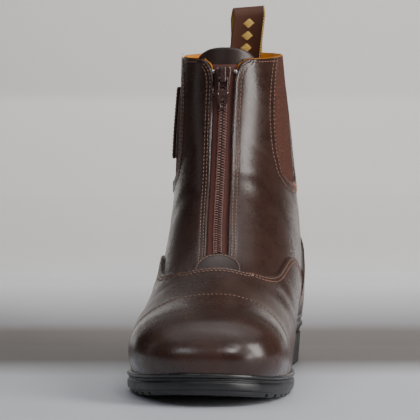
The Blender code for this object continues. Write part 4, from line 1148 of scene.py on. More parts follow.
STRIP_HALF = 0.0085
STRIP_ENDS = (0.462, 0.997)
back_v = np.linspace(0.55, 1, 400)
seam_u = np.linspace(0.5, 1, 400)
strip_u = np.interp(STRIP_ENDS, skin(seam_u, 1.0)[:, 2] / COLLAR_HEIGHT, seam_u)
strip_rows = strip_u[0] + (strip_u[1] - strip_u[0]) * eased(60, 1.3)
seam_x = skin(strip_rows, 1.0)[:, 0]
strip_parts = []
strip_edge_v = {}
for side in (-1, 1):
    reach = np.abs(skin(strip_rows[:, None], side * back_v[::-1][None, :])[..., 0] - seam_x[:, None])
    edge_v = first_crossing(reach - STRIP_HALF, back_v[::-1])
    strip_edge_v[side] = side * edge_v
    share = 1 - (1 - np.linspace(0, 1, 16)) ** 1.8
    v = side * (1 + (edge_v - 1)[:, None] * share[None, :])
    u = np.broadcast_to(strip_rows[:, None], v.shape)
    edge = distance_to(skin(u, v), skin(strip_rows, side * edge_v))
    lift = 0.0015 * rounded(edge, 0.0008) - 0.0002 * ditch(edge, 0.0020, 0.00055)
    strip_parts.append({"u": u, "v": v, "lift": lift, "edge": edge, "sink": 0.0010,
                        "rims": ((1, 1), (0, 1))})
points, faces, outward, edge_out = drape(strip_parts)
make_piece("back_strip_overlay", points, faces, vamp_leather, outward=outward, numbers={"edge": edge_out},
           replaces=["back_strip"])

# Tongue: a smooth leather flap behind the zip, sewn in below it, with a round top edge over the collar.
# It lies between the coil and the leg.


def front_view(points):
    """A point's place in front view in metres: how far beside the zip's line, and its height."""
    return points[..., 0] - zip_middle(points[..., 2] / COLLAR_HEIGHT), points[..., 2]


def front_grid(x, z):
    """u and v of a grid on the last's front: columns beside the zip's line by x, rows at the heights z.

    x has one row, z a value for each knot. On a dense net each section gives v at every x, and then each
    column gives u at every height.
    """
    rows = np.linspace(0.20, 1.10, 500)
    reach = np.linspace(0, 1, 420) ** 1.6 * 0.8
    v_at = np.empty((len(rows), len(x)))
    for side in (-1, 1):
        picked = (x < 0) == (side < 0)
        out = front_view(skin(rows[:, None], side * reach[None, :]))[0] * side
        v_at[:, picked] = side * np.stack([np.interp(side * x[picked], one, reach) for one in out])
    z_at = skin(rows[:, None], v_at)[..., 2]
    z = np.broadcast_to(z, (len(z), len(x)))
    u = np.stack([np.interp(z[:, k], z_at[:, k], rows) for k in range(len(x))], axis=1)
    v = np.stack([np.interp(u[:, k], rows, v_at[:, k]) for k in range(len(x))], axis=1)
    return u, v


TONGUE_HALF = 0.0215
TONGUE_TOP = 1.040
TONGUE_SIDE = 0.996
TONGUE_LOW = 0.360
TONGUE_LIFT = -0.00335
TONGUE_HALF_THICK = 0.0008
tongue_x = np.sin(np.linspace(-1, 1, 61) * math.pi / 2)
tongue_arc = np.sqrt(np.clip(1 - np.abs(tongue_x) ** 2.3, 0, 1))
tongue_top = TONGUE_SIDE + (TONGUE_TOP - TONGUE_SIDE) * tongue_arc
tongue_up = TONGUE_LOW + (tongue_top[None, :] - TONGUE_LOW) * eased(70, 1.35)[:, None]
u, v = front_grid(tongue_x * TONGUE_HALF, tongue_up * COLLAR_HEIGHT)
base, normal = skin(u, v), skin_normal(u, v)
edge = distance_to(base, np.concatenate([base[:, 0], base[-1, 1:], base[::-1, -1][1:]]))
part = rounded(edge, TONGUE_HALF_THICK)
middle = TONGUE_LIFT - TONGUE_HALF_THICK
front = base + normal * (middle + TONGUE_HALF_THICK * part)[..., None]
back = base + normal * (middle - TONGUE_HALF_THICK * part)[..., None]
tongue_leather = leather("tongue_leather", (0.026, 0.0125, 0.0090), (0.046, 0.0230, 0.0165), 0.40)
points, faces = slab(front, back)
make_piece("tongue_flap", points, faces, tongue_leather, replaces=["tongue"])

# Zip tape: reddish-brown woven tape sewn behind the turned leather edges, on both sides of the teeth.
# Its twill runs aslant.

TAPE_HALF = 0.0110
TAPE_LOW, TAPE_HIGH = 0.375, 0.985
TAPE_FRONT, TAPE_BACK = 0.0023, 0.0029
tape_fabric, tree, shader, place = procedural("tape_fabric")
twill = sums(tree, "ADD", sums(tree, "MULTIPLY", stored(tree, "height"), 2 * math.pi / 0.0007),
             sums(tree, "MULTIPLY", stored(tree, "across"), 2 * math.pi / 0.0007))
twill = spread(tree, sums(tree, "SINE", twill, 0.0), -1, 1)
tone = mixed(tree, twill, (0.070, 0.0240, 0.0200), (0.150, 0.057, 0.047))
tree.links.new(tone, shader.inputs["Base Color"])
shader.inputs["Roughness"].default_value = 0.80
shader.inputs["Specular IOR Level"].default_value = 0.25
bumped(tree, shader, twill, 0.00012, 0.7)
tape_z = (TAPE_LOW + (TAPE_HIGH - TAPE_LOW) * np.linspace(0, 1, 120)) * COLLAR_HEIGHT
tape_x = np.linspace(-TAPE_HALF, TAPE_HALF, 22)
u, v = front_grid(tape_x, tape_z[:, None])
base, normal = skin(u, v), skin_normal(u, v)
front, back = base - normal * TAPE_FRONT, base - normal * TAPE_BACK
points, faces = slab(front, back)
make_piece("tape", points, faces, tape_fabric, numbers={"across": points[..., 0], "height": points[..., 2]},
           replaces=["zip_tape"])

# Zip teeth: two coils of nylon wire, a turn of one between two turns of the other, each sewn to its tape
# round a cord. The cord and a wider sheet under the coils are near black: painted shade between the turns.


def joined(shapes):
    """Several meshes' points and quads as one."""
    points, faces, count = [], [], 0
    for some_points, some_faces in shapes:
        some_points = np.asarray(some_points).reshape(-1, 3)
        points.append(some_points)
        faces.append(some_faces + count)
        count += len(some_points)
    return np.concatenate(points), np.concatenate(faces)


def run_along(line):
    """The way from a line's first point to each of its points."""
    return np.concatenate([[0], np.cumsum(np.linalg.norm(np.diff(line, axis=0), axis=1))])


def tube_rings(path, along, up, radius, sides):
    """Circles of the radius round a path's points, square to its direction; the first point is beside up."""
    along = along / np.linalg.norm(along, axis=1, keepdims=True)
    first = np.cross(along, up)
    first /= np.linalg.norm(first, axis=1, keepdims=True)
    second = np.cross(along, first)
    turn = np.linspace(0, 2 * math.pi, sides + 1)[:-1, None]
    return path[:, None] + radius * (first[:, None] * np.cos(turn) + second[:, None] * np.sin(turn))


COIL_PITCH = 0.0018
WIRE_RADIUS = 0.00036
TURN_STEPS = 14
coil_z = np.linspace(0.411, 0.972, 260) * COLLAR_HEIGHT
u, v = front_grid(np.zeros(1), coil_z[:, None])
coil_line = skin(u[:, 0], v[:, 0])
coil_normal = skin_normal(u[:, 0], v[:, 0])
coil_run = run_along(coil_line)
turns = int(coil_run[-1] / COIL_PITCH)
angle = np.linspace(0, 2 * math.pi * turns, turns * TURN_STEPS + 1)
coil_shapes = []
for side in (-1, 1):
    at = (angle / (2 * math.pi) + (0.5 if side > 0 else 0.0)) * COIL_PITCH
    middle = np.stack([np.interp(at, coil_run, coil_line[:, k]) for k in range(3)], axis=-1)
    out = np.stack([np.interp(at, coil_run, coil_normal[:, k]) for k in range(3)], axis=-1)
    flat = np.sign(np.cos(angle)) * np.abs(np.cos(angle)) ** 0.7
    path = middle + np.array([1.0, 0, 0]) * (side * (1.45 + 1.15 * flat) / 1000)[:, None]
    path = path + out * ((-1.25 + 0.55 * np.sin(angle)) / 1000)[:, None]
    tube = tube_rings(path, np.gradient(path, axis=0), out, WIRE_RADIUS, 6)
    coil_shapes.append((tube, grid_faces(*tube.shape[:2], around=True)))
nylon, tree, shader, place = procedural("nylon")
toned(tree, shader, noise(tree, place, 500, 2.0), 0.35, 0.7, (0.170, 0.078, 0.064), (0.300, 0.155, 0.130))
shader.inputs["Roughness"].default_value = 0.38
points, faces = joined(coil_shapes)
make_piece("coil", points, faces, nylon, replaces=["zip_coil"])

# The cord inside the coils, and a wider sheet under them on the tape, both near black: painted shade between
# the turns
cord_and_shade_slabs = []
# The narrow slab is the cord; the wide one is a near-black sheet of painted shade over the tape under the
# coils
for half, face in ((0.0007, 0.00085), (0.0030, 0.00185)):
    cord_x = np.linspace(-1, 1, 9) * half
    core = coil_line[:, None] + np.array([1.0, 0, 0]) * cord_x[None, :, None]
    sunk = face + 0.0003 * np.abs(cord_x / half)[None, :, None] ** 3
    cord_and_shade_slabs.append(slab(core - coil_normal[:, None] * sunk, core - coil_normal[:, None] * (face + 0.0004)))
cord_and_painted_shade, tree, shader, place = procedural("cord_and_painted_shade")
toned(tree, shader, noise(tree, place, 1600, 2.0), 0.3, 0.7, (0.004, 0.002, 0.0018), (0.014, 0.006, 0.005))
shader.inputs["Roughness"].default_value = 0.8
bumped(tree, shader, noise(tree, place, 1600), 0.0001, 0.7)
points, faces = joined(cord_and_shade_slabs)
make_piece("coil_cord_and_painted_shade", points, faces, cord_and_painted_shade)

# Zip-end patch: a small half-moon of leather that covers the zip's lower end, sewn down along its edge.
# The round edge is at the top.

PATCH_TOP, PATCH_SIDE, PATCH_LOW = 0.406, 0.352, 0.335
PATCH_HALF = 0.0150
patch_x = np.sin(np.linspace(-1, 1, 41) * math.pi / 2)
arc = np.sqrt(np.clip(1 - np.abs(patch_x) ** 2.2, 0, 1))
patch_top_up = PATCH_SIDE + (PATCH_TOP - PATCH_SIDE) * arc
patch_up = PATCH_LOW + (patch_top_up[None, :] - PATCH_LOW) * (1 - (1 - np.linspace(0, 1, 26)) ** 1.6)[:, None]
u, v = front_grid(patch_x * PATCH_HALF + 0.0012, patch_up * COLLAR_HEIGHT)
base, normal = skin(u, v), skin_normal(u, v)
patch_line = (u[-1], v[-1])
edge = distance_to(base, base[-1])
part = rounded(edge, 0.0007)
lift = 0.0013 * part - 0.0006 - 0.0002 * ditch(edge, 0.0019, 0.0005)
front, back = base + normal * lift[..., None], base - normal * 0.0009
patch_leather = leather("patch_leather", (0.030, 0.0140, 0.0105), (0.046, 0.0225, 0.0170), 0.36)
points, faces = slab(front, back)
make_piece("zip_patch", points, faces, patch_leather, replaces=["zip_end_patch"])

# Zip slider: die-cast and lacquered metal, a body round the coil with side flanges, and a smooth bridge that
# holds the tab. Two bright clips on the tapes stop it at the top.

SLIDER_UP = 0.945
SLIDER_LENGTH = 0.0130
SLIDER_WIDTH = 0.0094
BODY_FACE = 0.0022
BRIDGE_FACE = 0.0052
BRIDGE_HALF = 0.0019
FLANGE = 0.0012
FLANGE_BACK = 0.0014
POST = 0.0016


def soft_box(low, high, radius, steps=7, taper=None):
    """A closed box with rounded edges: a cube's net drawn back to the inner box plus a ball."""
    even = np.linspace(-1, 1, steps)
    a, b = (grid.ravel() for grid in np.meshgrid(even, even, indexing="ij"))
    low, high = np.array(low, float), np.array(high, float)
    radius = min(radius, 0.499 * float((high - low).min()))
    points, faces = [], []
    for axis in range(3):
        for way in (-1, 1):
            cube = np.empty((steps * steps, 3))
            cube[:, axis] = way
            cube[:, (axis + 1) % 3] = a
            cube[:, (axis + 2) % 3] = b
            bent = np.sin(cube * math.pi / 2)
            place = 0.5 * (low + high) + 0.5 * (high - low) * bent
            inner = np.clip(place, low + radius, high - radius)
            corner = np.where(np.abs(place - inner) > 1e-9, place - inner, 0)
            corner = np.where(np.linalg.norm(corner, axis=1, keepdims=True) < 1e-9, cube, corner)
            corner /= np.linalg.norm(corner, axis=1, keepdims=True)
            points.append(inner + corner * radius)
            faces.append(grid_faces(steps, steps, start=len(faces) * steps * steps))
    points = np.concatenate(points)
    if taper:
        points[:, 0] *= np.interp(points[:, 2], *taper)
    return points, np.concatenate(faces)


def front_point(up):
    """A point on the front line at a height, as y, with the slope of that line as an angle from upright."""
    where = np.linspace(0.3, 1.05, 400)
    line = skin(where, 0.0)
    y_at = float(np.interp(up * COLLAR_HEIGHT, line[:, 2], line[:, 1]))
    y_low, y_high = np.interp([up * COLLAR_HEIGHT - 0.01, up * COLLAR_HEIGHT + 0.01], line[:, 2], line[:, 1])
    return y_at, math.atan2(y_high - y_low, 0.02)


def leaned(points, lean, place):
    """Points turned back about X by the front's lean and moved to their place."""
    turned = np.array(Matrix.Rotation(-lean, 3, "X"))
    return np.asarray(points) @ turned.T + np.array(place)


slider_y, slider_lean = front_point(SLIDER_UP)
slider_place = (float(zip_middle(SLIDER_UP)), slider_y, SLIDER_UP * COLLAR_HEIGHT)
half_run = SLIDER_LENGTH / 2
flank = ([-half_run, -half_run * 0.2, half_run * 0.4, half_run], [0.80, 0.86, 1.0, 0.96])
half_width = SLIDER_WIDTH / 2
bridge_low, bridge_high = -half_run + 0.0028, half_run - 0.0004
post_root = -BODY_FACE + 0.0005
slider_points, slider_faces = joined([
    soft_box((-half_width, -BODY_FACE, -half_run), (half_width, -0.0009, half_run), 0.0006, 9, flank),
    soft_box((-half_width, -BODY_FACE, -half_run), (-half_width + FLANGE, FLANGE_BACK, half_run),
             0.0005, 7, flank),
    soft_box((half_width - FLANGE, -BODY_FACE, -half_run), (half_width, FLANGE_BACK, half_run),
             0.0005, 7, flank),
    soft_box((-BRIDGE_HALF, -BRIDGE_FACE, bridge_high - 0.0020), (BRIDGE_HALF, post_root, bridge_high),
             0.0008),
    soft_box((-BRIDGE_HALF, -BRIDGE_FACE, bridge_low), (BRIDGE_HALF, post_root, bridge_low + POST), 0.0007),
    soft_box((-BRIDGE_HALF, -BRIDGE_FACE, bridge_low), (BRIDGE_HALF, -BRIDGE_FACE + 0.0013, bridge_high),
             0.00062, 9),
])
lacquer, tree, shader, place = procedural("brown_lacquer")
toned(tree, shader, noise(tree, place, 700, 3.0), 0.35, 0.7, (0.070, 0.037, 0.033), (0.110, 0.062, 0.056))
shader.inputs["Metallic"].default_value = 0.55
shader.inputs["Roughness"].default_value = 0.24
shader.inputs["Coat Weight"].default_value = 0.6
shader.inputs["Coat Roughness"].default_value = 0.08
bumped(tree, shader, noise(tree, place, 900, 2.0), 0.00003, 0.3)
make_piece("slider", leaned(slider_points, slider_lean, slider_place), slider_faces, lacquer,
           replaces=["zip_slider"])
stop_shapes = []
for side in (-1, 1):
    u, v = front_grid(np.array([side * 0.0072]), np.array([[0.962 * COLLAR_HEIGHT]]))
    at = skin(u, v)[0, 0] + skin_normal(u, v)[0, 0] * -0.0006
    points, faces = soft_box((-0.0011, -0.0008, -0.0013), (0.0011, 0.0008, 0.0013), 0.0006, 5)
    stop_shapes.append((leaned(points, slider_lean, at), faces))
points, faces = joined(stop_shapes)
bright, tree, shader, place = procedural("stop_metal")
toned(tree, shader, noise(tree, place, 800), 0.3, 0.7, (0.42, 0.40, 0.38), (0.60, 0.58, 0.55))
shader.inputs["Metallic"].default_value = 1.0
shader.inputs["Roughness"].default_value = 0.28
make_piece("top_stops", points, faces, bright)

# Zip pull: the lacquered tab, a bar with two arms round the bridge and a tapered plate with a window.
# It hangs from the bridge and swings on it.

BAR = 0.0012
ARM = 0.0009
EYE_WIDTH = 0.0064
PULL_SHOULDER = 0.0088
PULL_TIP = 0.0048
PULL_LENGTH = 0.0200
EYE_LENGTH = 0.0078
bar_out = BODY_FACE + 0.0003 + BAR / 2
pivot_run = bridge_low + POST + 0.0005 + BAR / 2
pull_place = (
    slider_place[0],
    slider_y - bar_out * math.cos(slider_lean) + pivot_run * math.sin(slider_lean),
    slider_place[2] + bar_out * math.sin(slider_lean) + pivot_run * math.cos(slider_lean),
)


def outlined_plate(outer, inner, depth, bevel):
    """A flat ring between two outlines of equally many points in XZ, with bevelled rims, closed."""
    outer, inner = np.array(outer), np.array(inner)
    out_in = outer + (inner - outer) * (bevel / np.linalg.norm(inner - outer, axis=1))[:, None]
    in_out = inner + (outer - inner) * (bevel / np.linalg.norm(inner - outer, axis=1))[:, None]
    loops = [(outer, -depth + bevel), (out_in, -depth), (in_out, -depth), (inner, -depth + bevel),
             (inner, depth - bevel), (in_out, depth), (out_in, depth), (outer, depth - bevel)]
    points = np.stack([np.stack([loop[:, 0], np.full(len(loop), y), loop[:, 1]], axis=-1)
                       for loop, y in loops])
    points = np.concatenate([points, points[:1]])
    return points, grid_faces(*points.shape[:2], around=True)


def round_rectangle(x_top, x_low, top, low, power):
    """A tapered rectangle with round corners: a superellipse of 48 points, its width led by the height."""
    spin = np.linspace(0, 2 * math.pi, 49)[:-1]
    out = np.sign(np.cos(spin)) * np.abs(np.cos(spin)) ** (2 / power)
    rise = np.sign(np.sin(spin)) * np.abs(np.sin(spin)) ** (2 / power)
    z = 0.5 * (top + low) + 0.5 * (top - low) * rise
    half = np.interp(z, [low, top], [x_low, x_top])
    return np.stack([out * half, z], axis=-1)


plate = outlined_plate(
    round_rectangle(PULL_SHOULDER / 2, PULL_TIP / 2, -EYE_LENGTH + 0.0002, -PULL_LENGTH, 6.0),
    round_rectangle(0.0013, 0.0012, -PULL_LENGTH + 0.0060, -PULL_LENGTH + 0.0018, 8.0), BAR / 2, 0.0003)
half_eye, arm_end = EYE_WIDTH / 2, -EYE_LENGTH - 0.0010
pull_points, pull_faces = joined([
    soft_box((-half_eye, -BAR / 2, -BAR / 2), (half_eye, BAR / 2, BAR / 2), 0.00055),
    soft_box((-half_eye, -BAR / 2, arm_end), (-half_eye + ARM, BAR / 2, BAR / 2), 0.0004),
    soft_box((half_eye - ARM, -BAR / 2, arm_end), (half_eye, BAR / 2, BAR / 2), 0.0004),
    plate,
])
make_piece("pull_tab", leaned(pull_points, slider_lean, pull_place), pull_faces, lacquer, body="pull",
           replaces=["zip_pull"], sharp=50)

# Pull loop: woven ribbon, brown outside and gold inside, folded over and sewn to the back of the collar on
# both faces.

LOOP_TOP = 0.2350
LOOP_FOOT = 0.1800
LOOP_RIBBON = 0.0013
LOOP_BULGE = 0.0040
LOOP_ARCH = 0.006
LOOP_WIDTH = 0.0210
LOOP_ROLL = math.radians(-4)
LOZENGES_UP = (0.2085, 0.2165, 0.2245)
back_middle = BACK["side"][-2] * BALL_WIDTH - CENTRE
heights = np.linspace(LOOP_FOOT, LOOP_TOP - LOOP_ARCH, 40)
back_y = (0.5 - smooth(BACK, "setback", "up", heights / COLLAR_HEIGHT)) * SOLE_LENGTH
LOOP_FREE = COLLAR_HEIGHT * 1.02
above = np.clip((heights - LOOP_FREE) / (LOOP_TOP - LOOP_FREE), 0, 1)
inner_y = back_y - WALL - GAP - LOOP_RIBBON / 2 - 0.0011 - LOOP_BULGE * np.sin(above * 2.2)
outer_y = back_y + 0.0012 + 2 * GAP + LOOP_RIBBON / 2 + 0.0002 + LOOP_BULGE * np.sin(above * 2.2)
turn = np.linspace(math.pi, 0, 24)[1:-1]
middle_y, radius = 0.5 * (inner_y[-1] + outer_y[-1]), 0.5 * (outer_y[-1] - inner_y[-1])
path_y = np.concatenate([inner_y, middle_y + radius * np.cos(turn), outer_y[::-1]])
path_z = np.concatenate([heights, heights[-1] + LOOP_ARCH * np.sin(turn), heights[::-1]])
ribbon_x = np.sin(np.linspace(-1, 1, 29) * math.pi / 2) * LOOP_WIDTH / 2
loop_points = np.stack(np.broadcast_arrays(
    back_middle + ribbon_x[None, :], path_y[:, None], path_z[:, None]), -1)
tilt = np.clip((path_z - LOOP_FREE) / (LOOP_TOP - LOOP_FREE), 0, 1)[:, None]
# The two legs are a little out of line, so that the gold inside shows past the front leg
legs = np.interp(np.arange(len(path_y)), [0, 39, 62, len(path_y) - 1], [1.0, 1.0, -1.0, -1.0])[:, None]
loop_points[..., 0] += (0.0020 + 0.0026 * legs) * tilt
bend = 0.049 * (1 - np.sqrt(1 - ((loop_points[..., 0] - back_middle) / 0.034) ** 2))
loop_points[..., 1] -= bend * (1 - 0.6 * tilt)
loop_points[..., 2] += -np.tan(LOOP_ROLL) * (loop_points[..., 0] - back_middle) * tilt
along = np.gradient(loop_points, axis=0)
beside = np.gradient(loop_points, axis=1)
loop_normal = np.cross(beside, along)
loop_normal /= np.linalg.norm(loop_normal, axis=-1, keepdims=True)
# The ribbon's outer face is the one whose normals point away from the loop's core
core = np.array([0.0, middle_y, LOOP_TOP - 0.02])
outward_way = np.sign(((loop_points[60:, 14] - core) * loop_normal[60:, 14]).sum())
loop_normal = loop_normal * outward_way
edge = (LOOP_WIDTH / 2 - np.abs(ribbon_x))[None, :] * np.ones_like(loop_points[..., 0])
thick = LOOP_RIBBON / 2 * (0.35 + 0.65 * rounded(edge, 0.0006))
loop_front = loop_points + loop_normal * thick[..., None]
loop_back = loop_points - loop_normal * thick[..., None]
points, faces = slab(loop_front, loop_back)
run = np.concatenate([[0], np.cumsum(np.hypot(np.diff(path_y), np.diff(path_z)))])
length = np.broadcast_to(run[:, None], loop_points.shape[:2])


def slab_numbers(front, back):
    """A number for each of a slab's points, laid out as slab lays them out, from one grid for each face."""
    ring = np.concatenate([front, back[:, ::-1]], axis=1)
    return np.concatenate([ring[:1], ring, ring[-1:]])


ribbon, tree, shader, place = procedural("ribbon")
grosgrain = sums(tree, "SINE", sums(tree, "MULTIPLY", stored(tree, "run"), 2 * math.pi / 0.00062), 0.0)
grosgrain = spread(tree, grosgrain, -1, 1)
brown = mixed(tree, grosgrain, (0.050, 0.0180, 0.0100), (0.110, 0.0430, 0.0250))
gold = mixed(tree, grosgrain, (0.20, 0.115, 0.016), (0.38, 0.235, 0.040))
toned(tree, shader, stored(tree, "face"), 0.45, 0.55, brown, gold)
shader.inputs["Roughness"].default_value = 0.60
shader.inputs["Specular IOR Level"].default_value = 0.3
bumped(tree, shader, grosgrain, 0.00010, 0.8)
make_piece("ribbon_loop", points, faces, ribbon, replaces=["pull_loop"],
           numbers={"run": slab_numbers(length, length), "face": slab_numbers(0 * length, 0 * length + 1)})

# Stitches: tan-brown thread, half sunk in the rows' grooves. Double rows at the zip, the gores, the vamp and
# the counter, a single row round the cap and the collar, and an orange bar tack at the foot of each gore.


def walk(u, v, amount, steps=4):
    """A line on the last moved sideways along its surface: to the left of its course as seen from outside.

    Each step turns the wanted move into changes of u and v through the surface's two slopes.
    """
    for _ in range(steps):
        line = skin(u, v)
        by_u = (skin(u + 0.002, v) - skin(u - 0.002, v)) / 0.004
        by_v = (skin(u, v + 0.004) - skin(u, v - 0.004)) / 0.008
        beside = np.cross(skin_normal(u, v), np.gradient(line, axis=0))
        beside *= amount / steps / np.maximum(np.linalg.norm(beside, axis=-1, keepdims=True), 1e-9)
        uu, uv, vv = (by_u**2).sum(-1), (by_u * by_v).sum(-1), (by_v**2).sum(-1)
        to_u, to_v = (by_u * beside).sum(-1), (by_v * beside).sum(-1)
        area = np.maximum(uu * vv - uv**2, 1e-12)
        u = u + (to_u * vv - to_v * uv) / area
        v = v + (to_v * uu - to_u * uv) / area
    return u, v


def stitch_row(line, outward, pitch=0.0026, length=0.0019, radius=0.00026, shift=0.0, lift=0.0):
    """Half-sunk stitches along a line of points: capsules of six sides and seven rings, arched a little.

    Returns points and quads of all stitches as one mesh.
    """
    run = run_along(line)
    count = max(int((run[-1] - shift) / pitch), 1)
    middle = shift + (np.arange(count) + 0.5) * (run[-1] - shift) / count
    ends = np.stack([middle - length / 2, middle + length / 2])
    place = np.stack([np.interp(ends, run, line[:, axis]) for axis in range(3)], axis=-1)
    up = np.stack([np.interp(middle, run, outward[:, axis]) for axis in range(3)], axis=-1)
    up /= np.linalg.norm(up, axis=-1, keepdims=True)
    axis = place[1] - place[0]
    axis /= np.maximum(np.linalg.norm(axis, axis=-1, keepdims=True), 1e-9)
    beside = np.cross(axis, up)
    beside /= np.linalg.norm(beside, axis=-1, keepdims=True)
    above = np.cross(beside, axis)
    along = np.array([-0.5, -0.46, -0.32, 0.0, 0.32, 0.46, 0.5])
    thick = np.array([0.02, 0.55, 0.9, 1.0, 0.9, 0.55, 0.02])
    arch = 0.00016 * (1 - (2 * along) ** 2) - 0.00004
    turn = np.linspace(0, 2 * math.pi, 7)[:-1]
    centre = place.mean(0)[:, None, None] + up[:, None, None] * lift
    rise = arch[:, None] + radius * thick[:, None] * np.sin(turn)
    out = 1.15 * radius * thick[:, None] * np.cos(turn)
    shapes = (centre + axis[:, None, None] * (along * length)[None, :, None, None]
              + above[:, None, None] * rise[None, ..., None] + beside[:, None, None] * out[None, ..., None])
    one = grid_faces(7, 6, around=True)
    faces = (one[None] + 42 * np.arange(count)[:, None, None]).reshape(-1, 4)
    return shapes.reshape(-1, 3), faces


thread_rows = []
tack_rows = []


def sew(u, v, lift, amount=0.0, rows=thread_rows, **sizes):
    """Stitches along a line on the last, moved sideways by an amount."""
    if amount:
        u, v = walk(u, v, amount)
    normal = skin_normal(u, v)
    rows.append(stitch_row(skin(u, v) + normal * lift, normal, **sizes))


def towards(u, v, amount, axis):
    """The amount, signed so that walking by it lowers the line's mean on an axis: 1 is forward, 2 is down."""
    moved = skin(*walk(u, v, amount))[..., axis].mean()
    return amount if moved < skin(u, v)[..., axis].mean() else -amount


for side in (-1, 1):
    seams = shaft_seams[side]
    # Beside the zip, from the patch to the collar's corner
    usable = skin(seams["rows"], seams["throat"])[:, 2] / COLLAR_HEIGHT
    picked = (usable > 0.375) & (usable < 0.9985)
    for amount in ZIP_STITCHES:
        sew(seams["rows"][picked], seams["throat"][picked], 0.00005, -side * amount)
    # Round the gore: down its front edge, round the tip and up the back edge
    opened = seams["opened"]
    tip_u, tip_v = seams["tip"]
    around_u = np.concatenate([seams["rows"][opened][::-1], [tip_u], seams["rows"][opened]])
    around_v = np.concatenate([seams["front"][opened][::-1], [tip_v], seams["back"][opened]])
    run = run_along(skin(around_u, around_v))
    even = np.linspace(0, run[-1], 220)
    around_u, around_v = np.interp(even, run, around_u), np.interp(even, run, around_v)
    for amount in GORE_STITCHES:
        sew(around_u, around_v, 0.00035, -side * amount)
    # Along the collar, front and back panel
    for start, end in ((seams["throat"][-1] + side * 0.05, seams["front"][-1] - side * 0.02),
                       (seams["back"][-1] + side * 0.02, strip_edge_v[side][-1])):
        v = np.linspace(start, end, 90)
        sew(np.ones(90) - COLLAR_STITCHES / 0.35, v, 0.00005)
    # The gore's bar tack: a short thick block of orange stitches across the tip
    u, v = walk(around_u, around_v, -side * 0.0020)
    foot = int(np.argmin(skin(u, v)[:, 2]))
    v = np.linspace(v[foot] - 0.022, v[foot] + 0.022, 30)
    for step in (-0.0006, 0.0, 0.0006):
        sew(np.full(30, u[foot]) + step * 2.6, v, 0.0004, rows=tack_rows,
            pitch=0.0011, length=0.0010, radius=0.00030)

picks = np.abs(vamp_v) < 0.985
vamp_line = vamp_u[picks], vamp_v[picks]
for amount in SEAM_STITCHES:
    sew(*vamp_line, 0.00185, towards(*vamp_line, amount, 2))
picks = np.abs(cap_v) < 0.985
cap_line = seam_of_cap[picks], cap_v[picks]
sew(*cap_line, 0.00275, towards(*cap_line, 0.0020, 1))
for side in (-1, 1):
    counter_line = counter_rows[2:-2], counter_edges[side][2:-2]
    for amount in SEAM_STITCHES:
        sew(*counter_line, 0.00185, towards(*counter_line, amount, 2))
    u, v = walk(strip_rows[1:-1], strip_edge_v[side][1:-1], 0.0020)
    nearer = np.abs(skin(u, v)[:, 0] - seam_x[1:-1]).mean() < STRIP_HALF
    sew(strip_rows[1:-1], strip_edge_v[side][1:-1], 0.0014, 0.0020 if nearer else -0.0020)

# The patch's curved edge and the tab's border
sew(*patch_line, 0.00062, towards(*patch_line, -0.0019, 2), pitch=0.0022, length=0.0016)
low_y, high_y = tab_y[0] + TAB_STITCHES, tab_y[-1] - TAB_STITCHES
low_z, high_z = tab_z[0] + TAB_STITCHES, tab_z[-1] - TAB_STITCHES
border_y = np.concatenate([np.linspace(low_y, high_y, 20), np.full(40, high_y),
                           np.linspace(high_y, low_y, 20), np.full(40, low_y)])
border_z = np.concatenate([np.full(20, low_z), np.linspace(low_z, high_z, 40),
                           np.full(20, high_z), np.linspace(high_z, low_z, 40)])
sew(*on_last(-1, border_y, border_z, side_metres), 0.00145, pitch=0.0024, length=0.0017)

thread, tree, shader, place = procedural("tan_thread")
twist = noise(tree, place, 2400, 2.0)
toned(tree, shader, twist, 0.3, 0.7, (0.150, 0.070, 0.048), (0.330, 0.190, 0.140))
shader.inputs["Roughness"].default_value = 0.55
bumped(tree, shader, twist, 0.00008, 0.6)
points, faces = joined(thread_rows)
make_piece("stitches", points, faces, thread)

orange, tree, shader, place = procedural("orange_thread")
toned(tree, shader, noise(tree, place, 2400, 2.0), 0.3, 0.7, (0.30, 0.085, 0.035), (0.52, 0.19, 0.085))
shader.inputs["Roughness"].default_value = 0.6
points, faces = joined(tack_rows)
make_piece("bar_tacks", points, faces, orange)

# Gold thread: a row of stitches down the loop's medial edge, through the ribbon, and three plain lozenges in
# satin stitch on its front face.

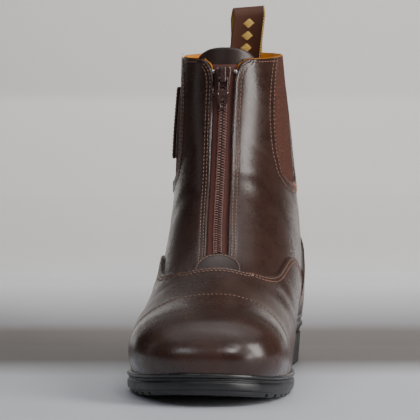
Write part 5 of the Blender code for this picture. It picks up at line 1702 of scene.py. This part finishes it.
gold_rows = []
line, normal = loop_points[:, -3], loop_normal[:, -3]
for way in (1, -1):
    gold_rows.append(stitch_row(line + normal * way * 0.00062, normal * way,
                                pitch=0.0019, length=0.0015, radius=0.00032))
for centre_z in LOZENGES_UP:
    for line in np.linspace(-0.0030, 0.0030, 15):
        half_line = 0.0042 * (1 - abs(line) / 0.0033)
        if half_line < 0.0006:
            continue
        x = np.linspace(-half_line, half_line, 8)
        row = np.interp(centre_z + line, heights, np.arange(len(heights)))
        low = int(row)
        here = (1 - (row - low)) * loop_points[low] + (row - low) * loop_points[low + 1]
        line_points = np.stack([np.interp(x, ribbon_x, here[:, k]) for k in range(3)], axis=-1)
        way = np.stack([np.interp(x, ribbon_x, loop_normal[low, :, k]) for k in range(3)], axis=-1)
        gold_rows.append(stitch_row(line_points + way * 0.00064, way, pitch=2 * half_line,
                                    length=2 * half_line * 0.97, radius=0.00024))
points, faces = joined(gold_rows)
gold_thread, tree, shader, place = procedural("gold_thread")
twist = noise(tree, place, 2000, 2.0)
toned(tree, shader, twist, 0.3, 0.7, (0.52, 0.33, 0.060), (0.78, 0.56, 0.16))
shader.inputs["Roughness"].default_value = 0.45
shader.inputs["Sheen Weight"].default_value = 0.2
bumped(tree, shader, twist, 0.00008, 0.6)
make_piece("gold_stitches", points, faces, gold_thread)

# Bead: the thin reddish-brown cord in the feather line, where the leather meets the welt.
# It runs round the whole boot in one piece.

bead_x, bead_y = ring_points(sock_along, LEDGE - 0.0001)
bead = np.stack([bead_x, bead_y, feather(bead_y / SOLE_LENGTH + 0.5) + 0.0003], axis=-1)
along = np.roll(bead, -1, axis=0) - np.roll(bead, 1, axis=0)
tube = tube_rings(bead, along, [0, 0, 1.0], 0.00055, 8)
tube = np.concatenate([tube, tube[:1]])
bead_cord, tree, shader, place = procedural("bead_cord")
toned(tree, shader, noise(tree, place, 900, 2.0), 0.3, 0.7, (0.070, 0.026, 0.018), (0.130, 0.055, 0.040))
shader.inputs["Roughness"].default_value = 0.6
bumped(tree, shader, noise(tree, place, 1500, 2.0), 0.0001, 0.5)
make_piece("bead", tube, grid_faces(*tube.shape[:2], around=True), bead_cord)
